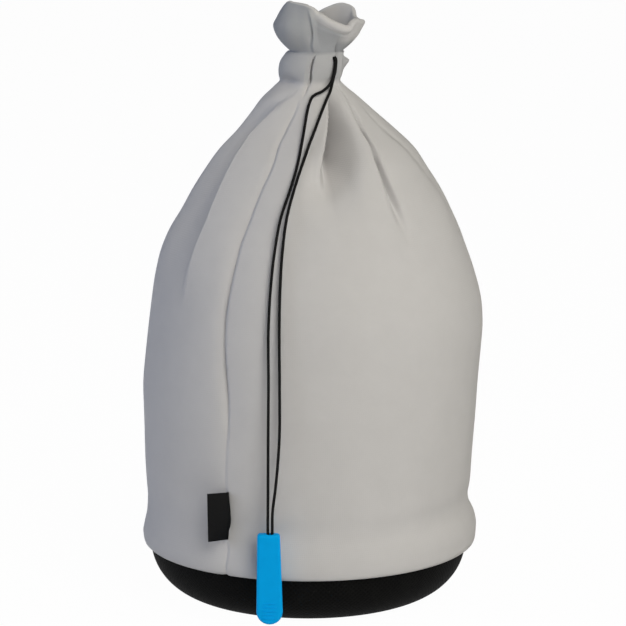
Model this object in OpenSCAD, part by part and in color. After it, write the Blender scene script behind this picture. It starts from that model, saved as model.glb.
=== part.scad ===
// Padded drawstring pouch for a camera lens, closed and standing on its moulded base.
// Millimetres, +Z up. The origin is the centre of the flat face that the pouch stands on,
// and the front, with the cords and the pull, faces -Y.
// Angles round the pouch start at the front and grow towards +X.

/* [Base] */
// Radius of the flat face that the pouch stands on
rest_r = 45.5; // [36:0.5:48]
// Radius of the black base at the cloth hem
base_r = 68; // [64:0.5:69]
// Height of the cloth hem above the table
base_h = 22.5; // [20:0.5:26]
// Thickness of the woven cover on the base
cover_t = 1; // [0.6:0.1:1.5]
// Height of the cover's edge that is tucked up behind the hem
cover_tuck = 4; // [2:0.5:6]
// Thickness of the moulded foam cup
cup_t = 4; // [3:0.5:6]
// Height of the cup's rim above the table
cup_h = 40; // [36:1:42]
// Thickness of the foam pad on the cup's floor
pad_t = 6; // [4:0.5:9]
// Thickness of the fleece on the pad
fleece_t = 1; // [0.6:0.1:2]
// Thickness of the binding tape and the seam tape
tape_t = 0.8; // [0.4:0.1:1.2]
// Depth of the binding on each side of the cup's rim
binding_h = 7; // [4:0.5:9]

/* [Cloth] */
// Thickness of the padded cloth
cloth_t = 2; // [1.2:0.1:2.6]
// How far the cloth roll over the hem stands out beyond the base
hem_out = 3.8; // [3:0.1:6]
// Height of the widest part of the roll above the hem's edge
hem_rise = 4; // [2.5:0.5:6]
// How far the waist above the roll stands out beyond the base
waist_out = 0.9; // [0.3:0.1:1.6]
// Height of the waist
waist_z = 43; // [42:0.5:50]
// How far the belly stands out beyond the base
belly_out = 3.6; // [1:0.1:8]
// Height of the belly
belly_z = 95; // [80:1:110]
// Roundness of the shoulder, from a cone at 1 to a dome
shoulder_round = 2.5; // [1.6:0.1:3.5]
// Sideways lean of the shoulder to the right
lean = 3.3; // [0:0.1:6]
// Depth of the deepest gathering fold in the shoulder
fold_depth = 6; // [2:0.5:8]
// Angle of the side seam
seam_angle = -30; // [-42:6:-18]

/* [Neck] */
// Outer radius of the cloth at the neck seam
neck_r = 12.6; // [11:0.1:15]
// Height of the neck seam
neck_z = 220.5; // [200:0.5:240]
// Sideways lean of the neck to the right
neck_lean = 0.8; // [0:0.1:3]
// Height of the band that holds the cord
band_h = 12.6; // [10:0.2:16]
// Outer radius of the band
band_r = 13.6; // [12.6:0.1:16]
// Width of the tunnel strip from outside to inside
band_w = 6.2; // [5:0.1:7]
// Thickness of the band's cloth
band_t = 1.1; // [0.8:0.1:1.4]
// Number of small pleats round the band
band_pleats = 11; // [8:1:14]
// Depth of a pleat in the band
pleat_depth = 0.9; // [0.3:0.1:1.2]
// Angle of the slit where the cord leaves the band
slit_angle = 50; // [30:1:60]
// Half of the slit's opening angle
slit_half = 10; // [8:1:14]

/* [Frill] */
// Radius of the frill where the cord cinches it
cinch_r = 11.6; // [10.5:0.1:14]
// Largest mean radius of the frill
frill_r = 18.2; // [15:0.1:22]
// Height of the frill
frill_h = 20.2; // [14:0.2:28]
// Number of soft lobes in the frill
frill_lobes = 5; // [4:1:7]
// Depth of the hollows between the lobes
lobe_depth = 4; // [1:0.5:6]
// How far the front right of the rim dips
rim_dip = 9; // [0:0.5:11]
// Angle of the deepest place of that dip
dip_angle = 38; // [20:1:60]
// Half of the angle that the dip takes up
dip_half = 60; // [40:1:80]
// How far the frill leans to the right at its rim
frill_lean = 3; // [0:0.5:5]

/* [Cord and pull] */
// Diameter of the cord
cord_d = 1.2; // [1:0.1:1.5]
// Length of the pull
pull_l = 38; // [32:0.5:42]
// Width of the pull at the cords
pull_w = 9.4; // [8:0.1:10.5]
// Width of the pull at its round end
pull_end_w = 10.8; // [9.5:0.1:12.5]
// Thickness of the pull
pull_t = 5; // [4.6:0.1:6]
// Radius of the pull's upper corners
pull_corner = 1.4; // [0.5:0.1:2.5]
// Depth of the cord's hole in the pull
pull_hole = 16; // [12:0.5:20]
// Number of grip grooves near the pull's round end
grip_grooves = 4; // [2:1:5]

/* [Label] */
// Width of the label outside the seam
label_w = 7.5; // [6:0.1:12]
// Height of the label
label_h = 20.2; // [14:0.2:26]
// Thickness of the doubled label
label_t = 0.8; // [0.5:0.1:1.2]
// Height of the label's lower edge
label_z = 37.6; // [34:0.2:44]
// Angle of the label's place in the side seam, which wanders a little
label_angle = -28.5; // [-36:0.5:-20]
// How far the label stands open from the cloth
label_open = 45; // [0:5:90]

/* [Hidden] */
$fn = 96;

// Gap that glue or stitches fill between two layers
seam_gap = 0.2;
// Air between the cloth and a loose piece that lies on it
lie_gap = 0.35;

// Outer radii of the cloth, which is sewn to the base and follows its size
hem_r = base_r + hem_out;
waist_r = base_r + waist_out;
belly_r = base_r + belly_out;

// Layers of the base, counted inwards from the outside of the cover
cup_in = cover_t + seam_gap;
pad_in = cup_in + cup_t + seam_gap;
cup_rim_r = waist_r - cloth_t - tape_t - 2 * seam_gap;
pad_top = pad_in + pad_t;
fleece_z = pad_top + seam_gap;

// Heights along the cloth
hem_z = base_h + hem_rise;
hem_edge_r = base_r + seam_gap + cloth_t;
band_z = neck_z + seam_gap + band_h / 2;
frill_z = neck_z + band_h + 2 * seam_gap;

// The band's tunnel, and the height of the cord in it
tunnel_r = band_r - band_w / 2;
cord_z = band_z + band_h / 4;

// Shares of the shoulder's height: folds begin, are deepest, and close up below the neck
fold_start = 0.25;
fold_full = 0.75;
neck_share = 0.8;
// The frill swells through this part of a half turn, and its lobes start at this angle
frill_swell = 130;
lobe_turn = 60;

// Columns and rows of the cloth's grid
cloth_cols = 60;
col_step = 360 / cloth_cols;
cloth_rows = concat(
    [base_h, hem_z, (hem_z + waist_z) / 2],
    [for (k = [0:2]) waist_z + (belly_z - waist_z) * k / 3],
    [for (k = [0:12]) belly_z + (neck_z - belly_z) * pow(k / 12, 0.8)]);

// Gathering folds: angle in the shoulder, angle at the neck, share of the depth, half width
FOLDS = [
    [-160, -150, 0.8, 14], [-125, -118, 1.0, 14], [-88, -76, 0.7, 13], [-53, -34, 1.0, 12],
    [-28, -14, 0.7, 10], [13, 34, 1.0, 14], [36, 66, 0.6, 10], [69, 96, 0.6, 12],
    [104, 122, 0.9, 14], [140, 150, 1.0, 14], [176, 178, 0.8, 14]];

// Routes of the two cord ends, from the slit down to the pull
LEFT_ROUTE = [
    [9.6, -8.4, 231.2], [10.6, -9.3, 231.2], [11.3, -10.3, 229.9], [11.2, -10.9, 227.5],
    [10.8, -11.6, 225], [10.1, -12.6, 222.5], [8.9, -14.6, 220.4], [7.3, -15.7, 218.9],
    [5.2, -17.2, 217.7], [3.2, -18.4, 217], [1.9, -19.4, 216.2], [0.6, -21.8, 213.8], [-0.3, -25.2, 210.7],
    [-1.4, -30.6, 204.9], [-2.6, -36.2, 198.6], [-3.8, -40.9, 193], [-5.1, -44.7, 188.1],
    [-7.5, -49.5, 180.9], [-10.9, -54.7, 171.4], [-13.4, -60.8, 158.8], [-15, -65.5, 145],
    [-16, -69.3, 127], [-16, -71.7, 105], [-16.2, -72.9, 82], [-16.3, -73.6, 62],
    [-16.4, -74.1, 46], [-16.4, -74.1, 34]];
RIGHT_ROUTE = [
    [10.8, -7, 231.2], [11.4, -7.6, 231], [11.7, -8.6, 229.9], [11.6, -9.2, 228],
    [11.3, -9.9, 225.3], [10.5, -11.1, 222.6], [9.9, -12.7, 220.2], [9.2, -15.2, 217.8],
    [7.7, -19.7, 215], [5.2, -26.2, 209.6], [2.9, -31.9, 204.1], [0.5, -37, 198.6],
    [-1.5, -41.3, 193.3], [-3.5, -45, 188], [-5.9, -49.9, 180.9], [-8.5, -55.4, 171.5],
    [-10.3, -61.4, 158.8], [-11.2, -66.4, 145.2], [-11.6, -70.2, 127], [-11.5, -72.4, 105],
    [-11.7, -73.4, 82], [-13.2, -73.9, 62], [-14.6, -74.1, 46], [-14.6, -74.1, 34]];
cord_sides = 8;
// A stretch of the route longer than this gets a ring in its middle
ring_reach = 7;

// Place of the pull under the cord ends, and its hole, a little off its middle, that takes both
left_end = LEFT_ROUTE[len(LEFT_ROUTE) - 1];
right_end = RIGHT_ROUTE[len(RIGHT_ROUTE) - 1];
hole_x = (left_end[0] + right_end[0]) / 2;
hole_off = 0.6;
pull_x = hole_x - hole_off;
pull_y = left_end[1];
pull_top = 43.5;
pull_end_r = pull_end_w / 2;
hole_r = (right_end[0] - left_end[0] + cord_d) / 2 + seam_gap;
knot_l = 4;
groove_r = 0.5;
groove_pitch = 1.8;

// Blends
function clamp(u) = min(1, max(0, u));
function smooth(u) = let (c = clamp(u)) c * c * (3 - 2 * c);
function mix(a, b, u) = a + (b - a) * u;
function polar(r, angle, z, x = 0) = [x + r * sin(angle), -r * cos(angle), z];
// Angle from b to a, between -180 and 180
function turn(a, b) = let (d = (a - b) % 360) d > 180 ? d - 360 : d < -180 ? d + 360 : d;

// Outer radius of the cloth, before its folds
function hem_profile(z) = mix(hem_edge_r, hem_r, sin(90 * clamp((z - base_h) / hem_rise)));
function roll_profile(z) = mix(hem_r, waist_r, smooth((z - hem_z) / (waist_z - hem_z)));
function belly_profile(z) =
    let (u = clamp((z - waist_z) / (belly_z - waist_z))) mix(belly_r, waist_r, pow(1 - u, 2));
function shoulder_share(z) = clamp((z - belly_z) / (neck_z - belly_z));
function shoulder_profile(z) = mix(belly_r, neck_r, pow(shoulder_share(z), shoulder_round));
function cloth_profile(z) =
    z <= hem_z ? hem_profile(z)
    : z <= waist_z ? roll_profile(z)
    : z <= belly_z ? belly_profile(z)
    : shoulder_profile(z);

// The shoulder leans over, and comes back to the neck
function cloth_lean(z) =
    lean * smooth((z - waist_z) / (belly_z - waist_z) / 1.7)
    + (neck_lean - lean) * smooth((shoulder_share(z) - neck_share) / (1 - neck_share));

// Folds grow up the shoulder and close up at the neck
function fold_growth(s) =
    smooth((s - fold_start) / (fold_full - fold_start))
    * (1 - 0.6 * smooth((s - fold_full) / (1 - fold_full)));
function fold_angle(fold, s) = mix(fold[0], fold[1], smooth((s - 0.55) / 0.45));
function fold_shape(u) = abs(u) >= 1 ? 0 : pow(cos(90 * u), 2);
function fold_at(angle, s) =
    max([for (fold = FOLDS) fold[2] * fold_shape(turn(angle, fold_angle(fold, s)) / fold[3])]);
function cloth_radius(angle, z) =
    let (s = shoulder_share(z)) cloth_profile(z) - fold_depth * fold_growth(s) * fold_at(angle, s);
function cloth_point(angle, z, depth) = polar(cloth_radius(angle, z) - depth, angle, z, cloth_lean(z));

// The frill swells above the cord and turns in again at its rim
function frill_rim(angle) = frill_h - rim_dip * fold_shape(turn(angle, dip_angle) / dip_half);
function frill_radius(angle, v) =
    cinch_r + (frill_r - cinch_r) * sin(frill_swell * v)
    - lobe_depth * v * (1 - cos(frill_lobes * (angle + lobe_turn))) / 2;
function frill_point(angle, v, depth) =
    polar(frill_radius(angle, v) - depth, angle, frill_z + frill_rim(angle) * v, neck_lean + frill_lean * v);

// Wall of cloth, closed in the round: rows of outer points, then as many rows of inner points
function wall_faces(cols, rows) =
    let (inner = cols * rows, top = cols * (rows - 1))
    concat(
        [for (j = [0:rows - 2], i = [0:cols - 1])
            let (a = j * cols + i, b = j * cols + (i + 1) % cols)
            each [[a, a + cols, b + cols], [a, b + cols, b]]],
        [for (j = [0:rows - 2], i = [0:cols - 1])
            let (a = inner + j * cols + i, b = inner + j * cols + (i + 1) % cols)
            each [[a, b + cols, a + cols], [a, b, b + cols]]],
        [for (i = [0:cols - 1])
            let (k = (i + 1) % cols)
            each [[i, k, inner + k], [i, inner + k, inner + i]]],
        [for (i = [0:cols - 1])
            let (a = top + i, b = top + (i + 1) % cols)
            each [[b, a, inner + a], [b, inner + a, inner + b]]]);

// Strip of cloth with four edges: rows of outer points, then as many rows of inner points
function strip_faces(cols, rows) =
    let (inner = cols * rows, top = cols * (rows - 1))
    concat(
        [for (j = [0:rows - 2], i = [0:cols - 2])
            let (a = j * cols + i)
            each [[a, a + cols, a + cols + 1], [a, a + cols + 1, a + 1]]],
        [for (j = [0:rows - 2], i = [0:cols - 2])
            let (a = inner + j * cols + i)
            each [[a, a + cols + 1, a + cols], [a, a + 1, a + cols + 1]]],
        [for (i = [0:cols - 2])
            each [[i, i + 1, inner + i + 1], [i, inner + i + 1, inner + i]]],
        [for (i = [0:cols - 2])
            let (a = top + i)
            each [[a + 1, a, inner + a], [a + 1, inner + a, inner + a + 1]]],
        [for (j = [0:rows - 2])
            let (a = j * cols)
            each [[a + cols, a, inner + a], [a + cols, inner + a, inner + a + cols]]],
        [for (j = [0:rows - 2])
            let (a = j * cols + cols - 1)
            each [[a, a + cols, inner + a + cols], [a, inner + a + cols, inner + a]]]);

// Sleeve: rings of outer points along the neck, then as many rings of inner points
function sleeve_faces(rings, sides) =
    let (inner = rings * sides, last = (rings - 1) * sides)
    concat(
        [for (i = [0:rings - 2], q = [0:sides - 1])
            let (a = i * sides + q, b = i * sides + (q + 1) % sides)
            each [[a, b, b + sides], [a, b + sides, a + sides]]],
        [for (i = [0:rings - 2], q = [0:sides - 1])
            let (a = inner + i * sides + q, b = inner + i * sides + (q + 1) % sides)
            each [[a, b + sides, b], [a, a + sides, b + sides]]],
        [for (q = [0:sides - 1])
            let (k = (q + 1) % sides)
            each [[k, q, inner + q], [k, inner + q, inner + k]]],
        [for (q = [0:sides - 1])
            let (a = last + q, b = last + (q + 1) % sides)
            each [[a, b, inner + b], [a, inner + b, inner + a]]]);

// Smooth curve through a route: a long stretch gets a point in its middle
function middle(p, i) =
    let (last = len(p) - 1, before = p[max(0, i - 1)], after = p[min(last, i + 2)])
    (9 * (p[i] + p[i + 1]) - before - after) / 16;
function curve(p) = concat(
    [for (i = [0:len(p) - 2])
        each norm(p[i + 1] - p[i]) > ring_reach ? [p[i], middle(p, i)] : [p[i]]],
    [p[len(p) - 1]]);
function unit(v) = v / norm(v);
function heading(p, i) = unit(p[min(len(p) - 1, i + 1)] - p[max(0, i - 1)]);
function ring_points(p, i) =
    let (ahead = heading(p, i), side = unit(cross(ahead, [0, 1, 0])), up = cross(side, ahead))
    [for (q = [0:cord_sides - 1])
        p[i] + cord_d / 2 * (cos(360 * q / cord_sides) * side + sin(360 * q / cord_sides) * up)];
function tube_faces(rings) = concat(
    [[for (q = [0:cord_sides - 1]) q]],
    [for (i = [0:rings - 2], q = [0:cord_sides - 1])
        let (a = i * cord_sides + q, b = i * cord_sides + (q + 1) % cord_sides)
        each [[a, a + cord_sides, b + cord_sides], [a, b + cord_sides, b]]],
    [[for (q = [cord_sides - 1:-1:0]) (rings - 1) * cord_sides + q]]);

// Curve of the base from the rest face up to the hem, moved inwards by a depth
arc_steps = 12;
function base_arc(depth, sweep = 90) = [
    for (k = [0:arc_steps])
        let (a = sweep * k / arc_steps)
        [rest_r + (base_r - rest_r - depth) * sin(a), depth + (base_h - depth) * (1 - cos(a))]];
function reversed(list) = [for (k = [len(list) - 1:-1:0]) list[k]];

// Woven cover on the outside of the base, tucked up behind the hem
module base_cover() {
    edge_z = base_h + cover_tuck;
    color("#1c1c1b")
        rotate_extrude()
            polygon(concat(
                [[0, 0]], base_arc(0), [[base_r, edge_z], [base_r - cover_t, edge_z]],
                reversed(base_arc(cover_t)), [[0, cover_t]]));
}

// Moulded foam cup: its wall stands inside the cloth and holds the hem's roll out
module base_cup() {
    wall_in = cup_in + cup_t;
    straight_z = cup_h - binding_h - seam_gap;
    color("#2b2b2d")
        rotate_extrude()
            polygon(concat(
                [[0, cup_in]], base_arc(cup_in),
                [[cup_rim_r, straight_z], [cup_rim_r, cup_h], [cup_rim_r - cup_t, cup_h],
                 [cup_rim_r - cup_t, straight_z]],
                reversed(base_arc(wall_in)), [[0, wall_in]]));
}

// Foam pad that fills the cup's rounded floor
module base_pad() {
    sweep = acos(1 - pad_t / (base_h - pad_in));
    color("#6f6f72")
        rotate_extrude()
            polygon(concat([[0, pad_in]], base_arc(pad_in, sweep), [[0, pad_top]]));
}

// Fleece disc on the pad, with a rounded edge
module pad_fleece() {
    pad_edge = base_arc(pad_in, acos(1 - pad_t / (base_h - pad_in)))[arc_steps][0];
    disc_r = pad_edge - fleece_t / 2;
    color("#8c8b88")
        rotate_extrude()
            union() {
                translate([0, fleece_z]) square([disc_r, fleece_t]);
                translate([disc_r, fleece_z + fleece_t / 2]) intersection() {
                    circle(d = fleece_t);
                    translate([0, -fleece_t]) square([fleece_t, 2 * fleece_t]);
                }
            }
}

// Binding folded over the cup's rim, where the cloth is sewn to the cup
module rim_binding() {
    outer = cup_rim_r + seam_gap / 2 + tape_t;
    inner = cup_rim_r - cup_t - seam_gap / 2 - tape_t;
    low = cup_h - binding_h;
    top = cup_h + seam_gap / 2 + tape_t;
    color("#3a3a3c")
        rotate_extrude()
            difference() {
                translate([inner, low]) square([outer - inner, top - low]);
                translate([inner + tape_t, low - tape_t])
                    square([outer - inner - 2 * tape_t, top - low]);
            }
}

// Cloth body: rolls over the base, bulges at the belly and gathers into folds at the neck
module body_shell() {
    points = [for (depth = [0, cloth_t], z = cloth_rows, i = [0:cloth_cols - 1])
        cloth_point(i * col_step, z, depth)];
    color("#bebbb6") polyhedron(points, wall_faces(cloth_cols, len(cloth_rows)));
}

// Tape inside the body along the side seam
module side_seam_tape() {
    rows = [for (z = cloth_rows) if (z > cup_h + 2 * tape_t && shoulder_share(z) < neck_share) z];
    cols = [seam_angle - col_step, seam_angle, seam_angle + col_step];
    outside = cloth_t + seam_gap;
    points = [for (depth = [outside, outside + tape_t], z = rows, angle = cols)
        cloth_point(angle, z, depth)];
    color("#8f8d89") polyhedron(points, strip_faces(len(cols), len(rows)));
}

// Band sewn round the neck: a pleated sleeve for the cord, open at the slit
module neck_band() {
    rings = 67;
    sides = 10;
    sweep = 360 - 2 * slit_half;
    points = [for (depth = [0, band_t], i = [0:rings - 1], q = [0:sides - 1])
        let (angle = slit_angle + slit_half + sweep * i / (rings - 1),
             a = 360 * q / sides,
             pleat = pleat_depth * (1 - cos(band_pleats * (angle - slit_angle))) / 2,
             r = tunnel_r + (band_w / 2 - depth) * cos(a) - pleat * max(0, cos(a)),
             z = band_z + (band_h / 2 - depth) * sin(a))
        polar(r, angle, z, neck_lean)];
    color("#b3b1ae") polyhedron(points, sleeve_faces(rings, sides));
}

// Frill of soft lobes above the cord
module mouth_frill() {
    rows = 6;
    points = [for (depth = [0, cloth_t], j = [0:rows - 1], i = [0:cloth_cols - 1])
        frill_point(i * col_step, j / (rows - 1), depth)];
    color("#a3a2a1") polyhedron(points, wall_faces(cloth_cols, rows));
}

// Woven label, folded double, that stands out to the left of the side seam
module side_label() {
    lie_r = max(cloth_profile(label_z), cloth_profile(label_z + label_h)) + lie_gap;
    color("#151517")
        rotate(label_angle)
            translate([0, -lie_r - label_t / 2, label_z])
                rotate(label_open)
                    linear_extrude(label_h)
                        union() {
                            translate([-label_w, -label_t / 2]) square([label_w, label_t]);
                            circle(d = label_t);
                            translate([-label_w, 0]) circle(d = label_t);
                        }
}

// Cord inside the band, from one side of the slit round to the other
module cord_loop() {
    start = slit_angle + slit_half - 90;
    color("#121212")
        translate([neck_lean, 0, cord_z])
            rotate(start)
                rotate_extrude(angle = 360 - 2 * slit_half)
                    translate([tunnel_r, 0]) circle(d = cord_d);
}

// One cord end along its route
module cord_tail(route) {
    path = curve(route);
    points = [for (i = [0:len(path) - 1]) each ring_points(path, i)];
    color("#121212") polyhedron(points, tube_faces(len(path)));
}
module cord_tail_left() { cord_tail(LEFT_ROUTE); }
module cord_tail_right() { cord_tail(RIGHT_ROUTE); }

// Outline of the pull: square shoulders that flare to a full round end
function arc(centre, r, from, to, steps = 16) =
    [for (k = [0:steps]) let (a = mix(from, to, k / steps)) centre + r * [cos(a), sin(a)]];
module pull_outline() {
    corner_x = pull_w / 2 - pull_corner;
    polygon(concat(
        arc([corner_x, -pull_corner], pull_corner, 90, 0),
        arc([0, pull_end_r - pull_l], pull_end_r, 0, -180),
        arc([-corner_x, -pull_corner], pull_corner, 180, 90)));
}

// Soft moulded pull with the cord's hole in its top and grip grooves across its round end
module pull() {
    color("#0092cf")
        translate([pull_x, pull_y, pull_top])
            difference() {
                rotate([90, 0, 0]) translate([0, 0, -pull_t / 2]) linear_extrude(pull_t) pull_outline();
                translate([hole_off, 0, -pull_hole]) cylinder(h = pull_hole + 1, r = hole_r);
                for (k = [0:grip_grooves - 1], side = [-1, 1])
                    translate([-pull_end_w, side * (pull_t / 2 + groove_r / 2),
                               -pull_l + pull_end_r / 2 + k * groove_pitch])
                        rotate([0, 90, 0]) cylinder(h = 2 * pull_end_w, r = groove_r);
            }
}

// Joined cord ends at the bottom of the pull's hole
module cord_knot() {
    color("#121212")
        translate([hole_x, pull_y, pull_top - pull_hole]) cylinder(h = knot_l, r = hole_r - seam_gap / 2);
}

base_cover();
base_cup();
base_pad();
pad_fleece();
rim_binding();
body_shell();
side_seam_tape();
neck_band();
mouth_frill();
side_label();
cord_loop();
cord_tail_left();
cord_tail_right();
pull();
cord_knot();
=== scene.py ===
# %% [markdown]
# # A drawstring lens pouch
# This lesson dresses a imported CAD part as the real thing: a soft grey pouch for a camera lens that
# stands on a black moulded base, is gathered at the neck by a cord, and has a blue pull and a label.
# The CAD part fixes the sizes and the way it moves. Here each soft piece gets its true form, and each
# surface its finish. Lengths are worked out in millimetres and stored in metres.

import math

import bpy
import numpy as np
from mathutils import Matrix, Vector, noise


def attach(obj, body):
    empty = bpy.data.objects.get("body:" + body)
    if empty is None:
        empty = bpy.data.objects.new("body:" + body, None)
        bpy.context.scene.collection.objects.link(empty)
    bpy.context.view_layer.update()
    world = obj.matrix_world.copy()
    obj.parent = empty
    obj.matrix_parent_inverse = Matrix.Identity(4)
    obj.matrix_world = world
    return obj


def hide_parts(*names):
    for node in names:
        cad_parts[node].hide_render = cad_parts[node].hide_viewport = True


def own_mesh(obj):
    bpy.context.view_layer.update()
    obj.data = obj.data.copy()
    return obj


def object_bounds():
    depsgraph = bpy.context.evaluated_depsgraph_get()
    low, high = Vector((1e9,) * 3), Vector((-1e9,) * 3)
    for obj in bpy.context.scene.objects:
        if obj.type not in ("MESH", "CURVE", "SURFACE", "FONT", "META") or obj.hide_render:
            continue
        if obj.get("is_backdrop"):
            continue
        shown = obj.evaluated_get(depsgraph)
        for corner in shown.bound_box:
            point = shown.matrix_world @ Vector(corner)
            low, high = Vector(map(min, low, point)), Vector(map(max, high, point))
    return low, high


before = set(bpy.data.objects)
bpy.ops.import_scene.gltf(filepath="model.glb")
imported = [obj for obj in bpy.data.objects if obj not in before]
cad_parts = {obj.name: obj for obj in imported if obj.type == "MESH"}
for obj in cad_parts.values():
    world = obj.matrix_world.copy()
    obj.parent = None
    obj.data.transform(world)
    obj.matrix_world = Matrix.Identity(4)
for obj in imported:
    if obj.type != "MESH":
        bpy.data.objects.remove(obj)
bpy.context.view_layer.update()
MM = 0.001
scene = bpy.context.scene

# %% [markdown]
# ## The camera
# The picture was taken with a long lens from a little above the pouch. The rim of the base and the hem
# of the cloth are two circles of known height, so the ellipses that they make in the picture give the
# camera's height, pitch and distance. A long lens far away keeps the sides of the pouch almost parallel.

# %% Camera
CAMERA_PLACE = (0.00203, -1.29245, 0.37396)
CAMERA_PITCH = 11.08
LENS, SENSOR_W = 177.42, 36
camera_data = bpy.data.cameras.new("photo_camera")
camera_data.lens = LENS
camera_data.sensor_width = SENSOR_W
camera = bpy.data.objects.new("photo_camera", camera_data)
camera.location = CAMERA_PLACE
camera.rotation_euler = (math.radians(90 - CAMERA_PITCH), 0, 0)
scene.collection.objects.link(camera)
scene.camera = camera
print("camera pitch, degrees:", CAMERA_PITCH)

# %% [markdown]
# ## Curves through a few points
# Cords, profiles and rims are all drawn through a few listed points. A cubic through each
# pair of points, with the slope taken from the neighbours, passes through every point without a kink.
# A loft needs close rows at its folds and few elsewhere, so a list of starts says how far apart they are.


# %% Smooth curves
def through(points, at):
    """Smooth curve through points: the first column is where, the others are the values there."""
    table = np.array(points, float)
    where, values = table[:, 0], table[:, 1:]
    slopes = np.gradient(values, where, axis=0)
    at = np.clip(np.asarray(at, float), where[0], where[-1])
    i = np.clip(np.searchsorted(where, at, side="right") - 1, 0, len(where) - 2)
    step = (where[i + 1] - where[i])[:, None]
    t = (at - where[i])[:, None] / step
    start, end = values[i], values[i + 1]
    leaving, arriving = slopes[i] * step, slopes[i + 1] * step
    bend = (1 + 2 * t) * (1 - t) ** 2 * start + t * t * (3 - 2 * t) * end
    return bend + t * (1 - t) ** 2 * leaving - t * t * (1 - t) * arriving


def smooth_route(route, step):
    """Points about one step apart on a smooth curve through the route."""
    points = np.array(route, float)
    gaps = np.linalg.norm(np.diff(points, axis=0), axis=1)
    along = np.concatenate([[0], np.cumsum(gaps)])
    count = int(along[-1] / step) + 2
    return through(np.column_stack([along, points]), np.linspace(0, along[-1], count))


def smooth(u):
    """Eases from 0 to 1."""
    c = np.clip(u, 0, 1)
    return c * c * (3 - 2 * c)


def spaced(steps):
    """Places from each start on, at its spacing, to just before the next start."""
    ends = [start - 0.01 for start, spacing in steps[1:]]
    return np.concatenate([np.arange(start, end, spacing) for (start, spacing), end in zip(steps, ends)])


print("a straight route of 10 mm has", len(smooth_route([(0, 0, 0), (5, 0, 0), (10, 0, 0)], 1)), "points")

# %% [markdown]
# ## Nodes and colours
# Shader trees and geometry trees are built from the same kind of nodes, so one small function adds a
# node, sets its options and links its inputs. Colours are picked as sRGB hex values, as in a paint
# program, and the shader wants linear values. Two more helpers hold what the finishes share: a bumped
# surface, and two sets of threads that cross.


# %% Node and colour helpers
def add(tree, kind, inputs=None, **options):
    """Adds a node. Inputs are values, or the outputs of other nodes, by socket name or number."""
    made = tree.nodes.new(kind)
    for option, value in options.items():
        setattr(made, option, value)
    for socket, value in (inputs or {}).items():
        if isinstance(value, bpy.types.NodeSocket):
            tree.links.new(value, made.inputs[socket])
        else:
            made.inputs[socket].default_value = value
    return made


def linear(colour):
    """Linear RGBA of an sRGB hex colour."""
    parts = [int(colour[k : k + 2], 16) / 255 for k in (1, 3, 5)]
    return tuple(c / 12.92 if c <= 0.04045 else ((c + 0.055) / 1.055) ** 2.4 for c in parts) + (1,)


def new_material(name):
    """A material with an empty tree, and that tree."""
    made = bpy.data.materials.new(name)
    made.use_nodes = True
    made.node_tree.nodes.clear()
    return made, made.node_tree


def surface(tree, colour, height, strength, depth, finish):
    """Shows a colour on a surface that a height bumps by a depth in millimetres."""
    relief = add(tree, "ShaderNodeBump", {"Strength": strength, "Distance": depth * MM, "Height": height})
    inputs = {"Base Color": colour, "Normal": relief.outputs[0], **finish}
    skin = add(tree, "ShaderNodeBsdfPrincipled", inputs)
    add(tree, "ShaderNodeOutputMaterial", {"Surface": skin.outputs[0]})


# A wave texture of scale 1 repeats at this length, in metres
WAVE_LENGTH = 2 * math.pi / 20


def crossed_threads(tree, place, pitches, distortion, crossing):
    """Two sets of uneven threads, at pitches across and up in millimetres, joined where they cross."""
    threads = []
    for direction, pitch in zip("XY", pitches):
        inputs = {"Vector": place, "Scale": WAVE_LENGTH / (pitch * MM), "Distortion": distortion}
        wave = add(tree, "ShaderNodeTexWave", inputs, bands_direction=direction)
        threads.append(wave.outputs["Fac"])
    return add(tree, "ShaderNodeMath", {0: threads[0], 1: threads[1]}, operation=crossing).outputs[0]


print("mid grey #808080 is", round(linear("#808080")[0], 3), "in linear light")

# %% [markdown]
# ## Braided cord
# The drawstring is a round braid of black polyester, 1.2 mm thick. A braid is two sets of strands that
# wind round the cord in opposite directions, which leaves a pattern of small diamonds. The tube carries
# its own attribute, the distance along the cord and the share of the way round it, so two sine waves on
# that attribute draw the diamonds wherever the cord goes.

# %% Cord finish
BRAID_PITCH, BRAID_STRANDS = 2.0, 4
cord_finish, tree = new_material("braided_polyester_cord")
braid = add(tree, "ShaderNodeAttribute", attribute_name="braid")
place = add(tree, "ShaderNodeSeparateXYZ", {0: braid.outputs["Vector"]})
per_turn, per_metre = 2 * math.pi * BRAID_STRANDS, 2 * math.pi / (BRAID_PITCH * MM)
turns = add(tree, "ShaderNodeMath", {0: place.outputs[1], 1: per_turn}, operation="MULTIPLY")
climb = add(tree, "ShaderNodeMath", {0: place.outputs[0], 1: per_metre}, operation="MULTIPLY")
strands = []
for way in ("ADD", "SUBTRACT"):
    wind = add(tree, "ShaderNodeMath", {0: climb.outputs[0], 1: turns.outputs[0]}, operation=way)
    strands.append(add(tree, "ShaderNodeMath", {0: wind.outputs[0]}, operation="SINE").outputs[0])
weave = add(tree, "ShaderNodeMath", {0: strands[0], 1: strands[1]}, operation="MULTIPLY")
shade = add(tree, "ShaderNodeMapRange", {0: weave.outputs[0], 1: -1.0, 2: 1.0})
colour = add(
    tree,
    "ShaderNodeMix",
    {0: shade.outputs[0], 6: linear("#060606"), 7: linear("#161616")},
    data_type="RGBA",
)
cord_gloss = {"Roughness": 0.7, "Specular IOR Level": 0.12}
surface(tree, colour.outputs[2], shade.outputs[0], 0.6, 0.15, cord_gloss)
print("braid repeats every", BRAID_PITCH, "mm")
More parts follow.
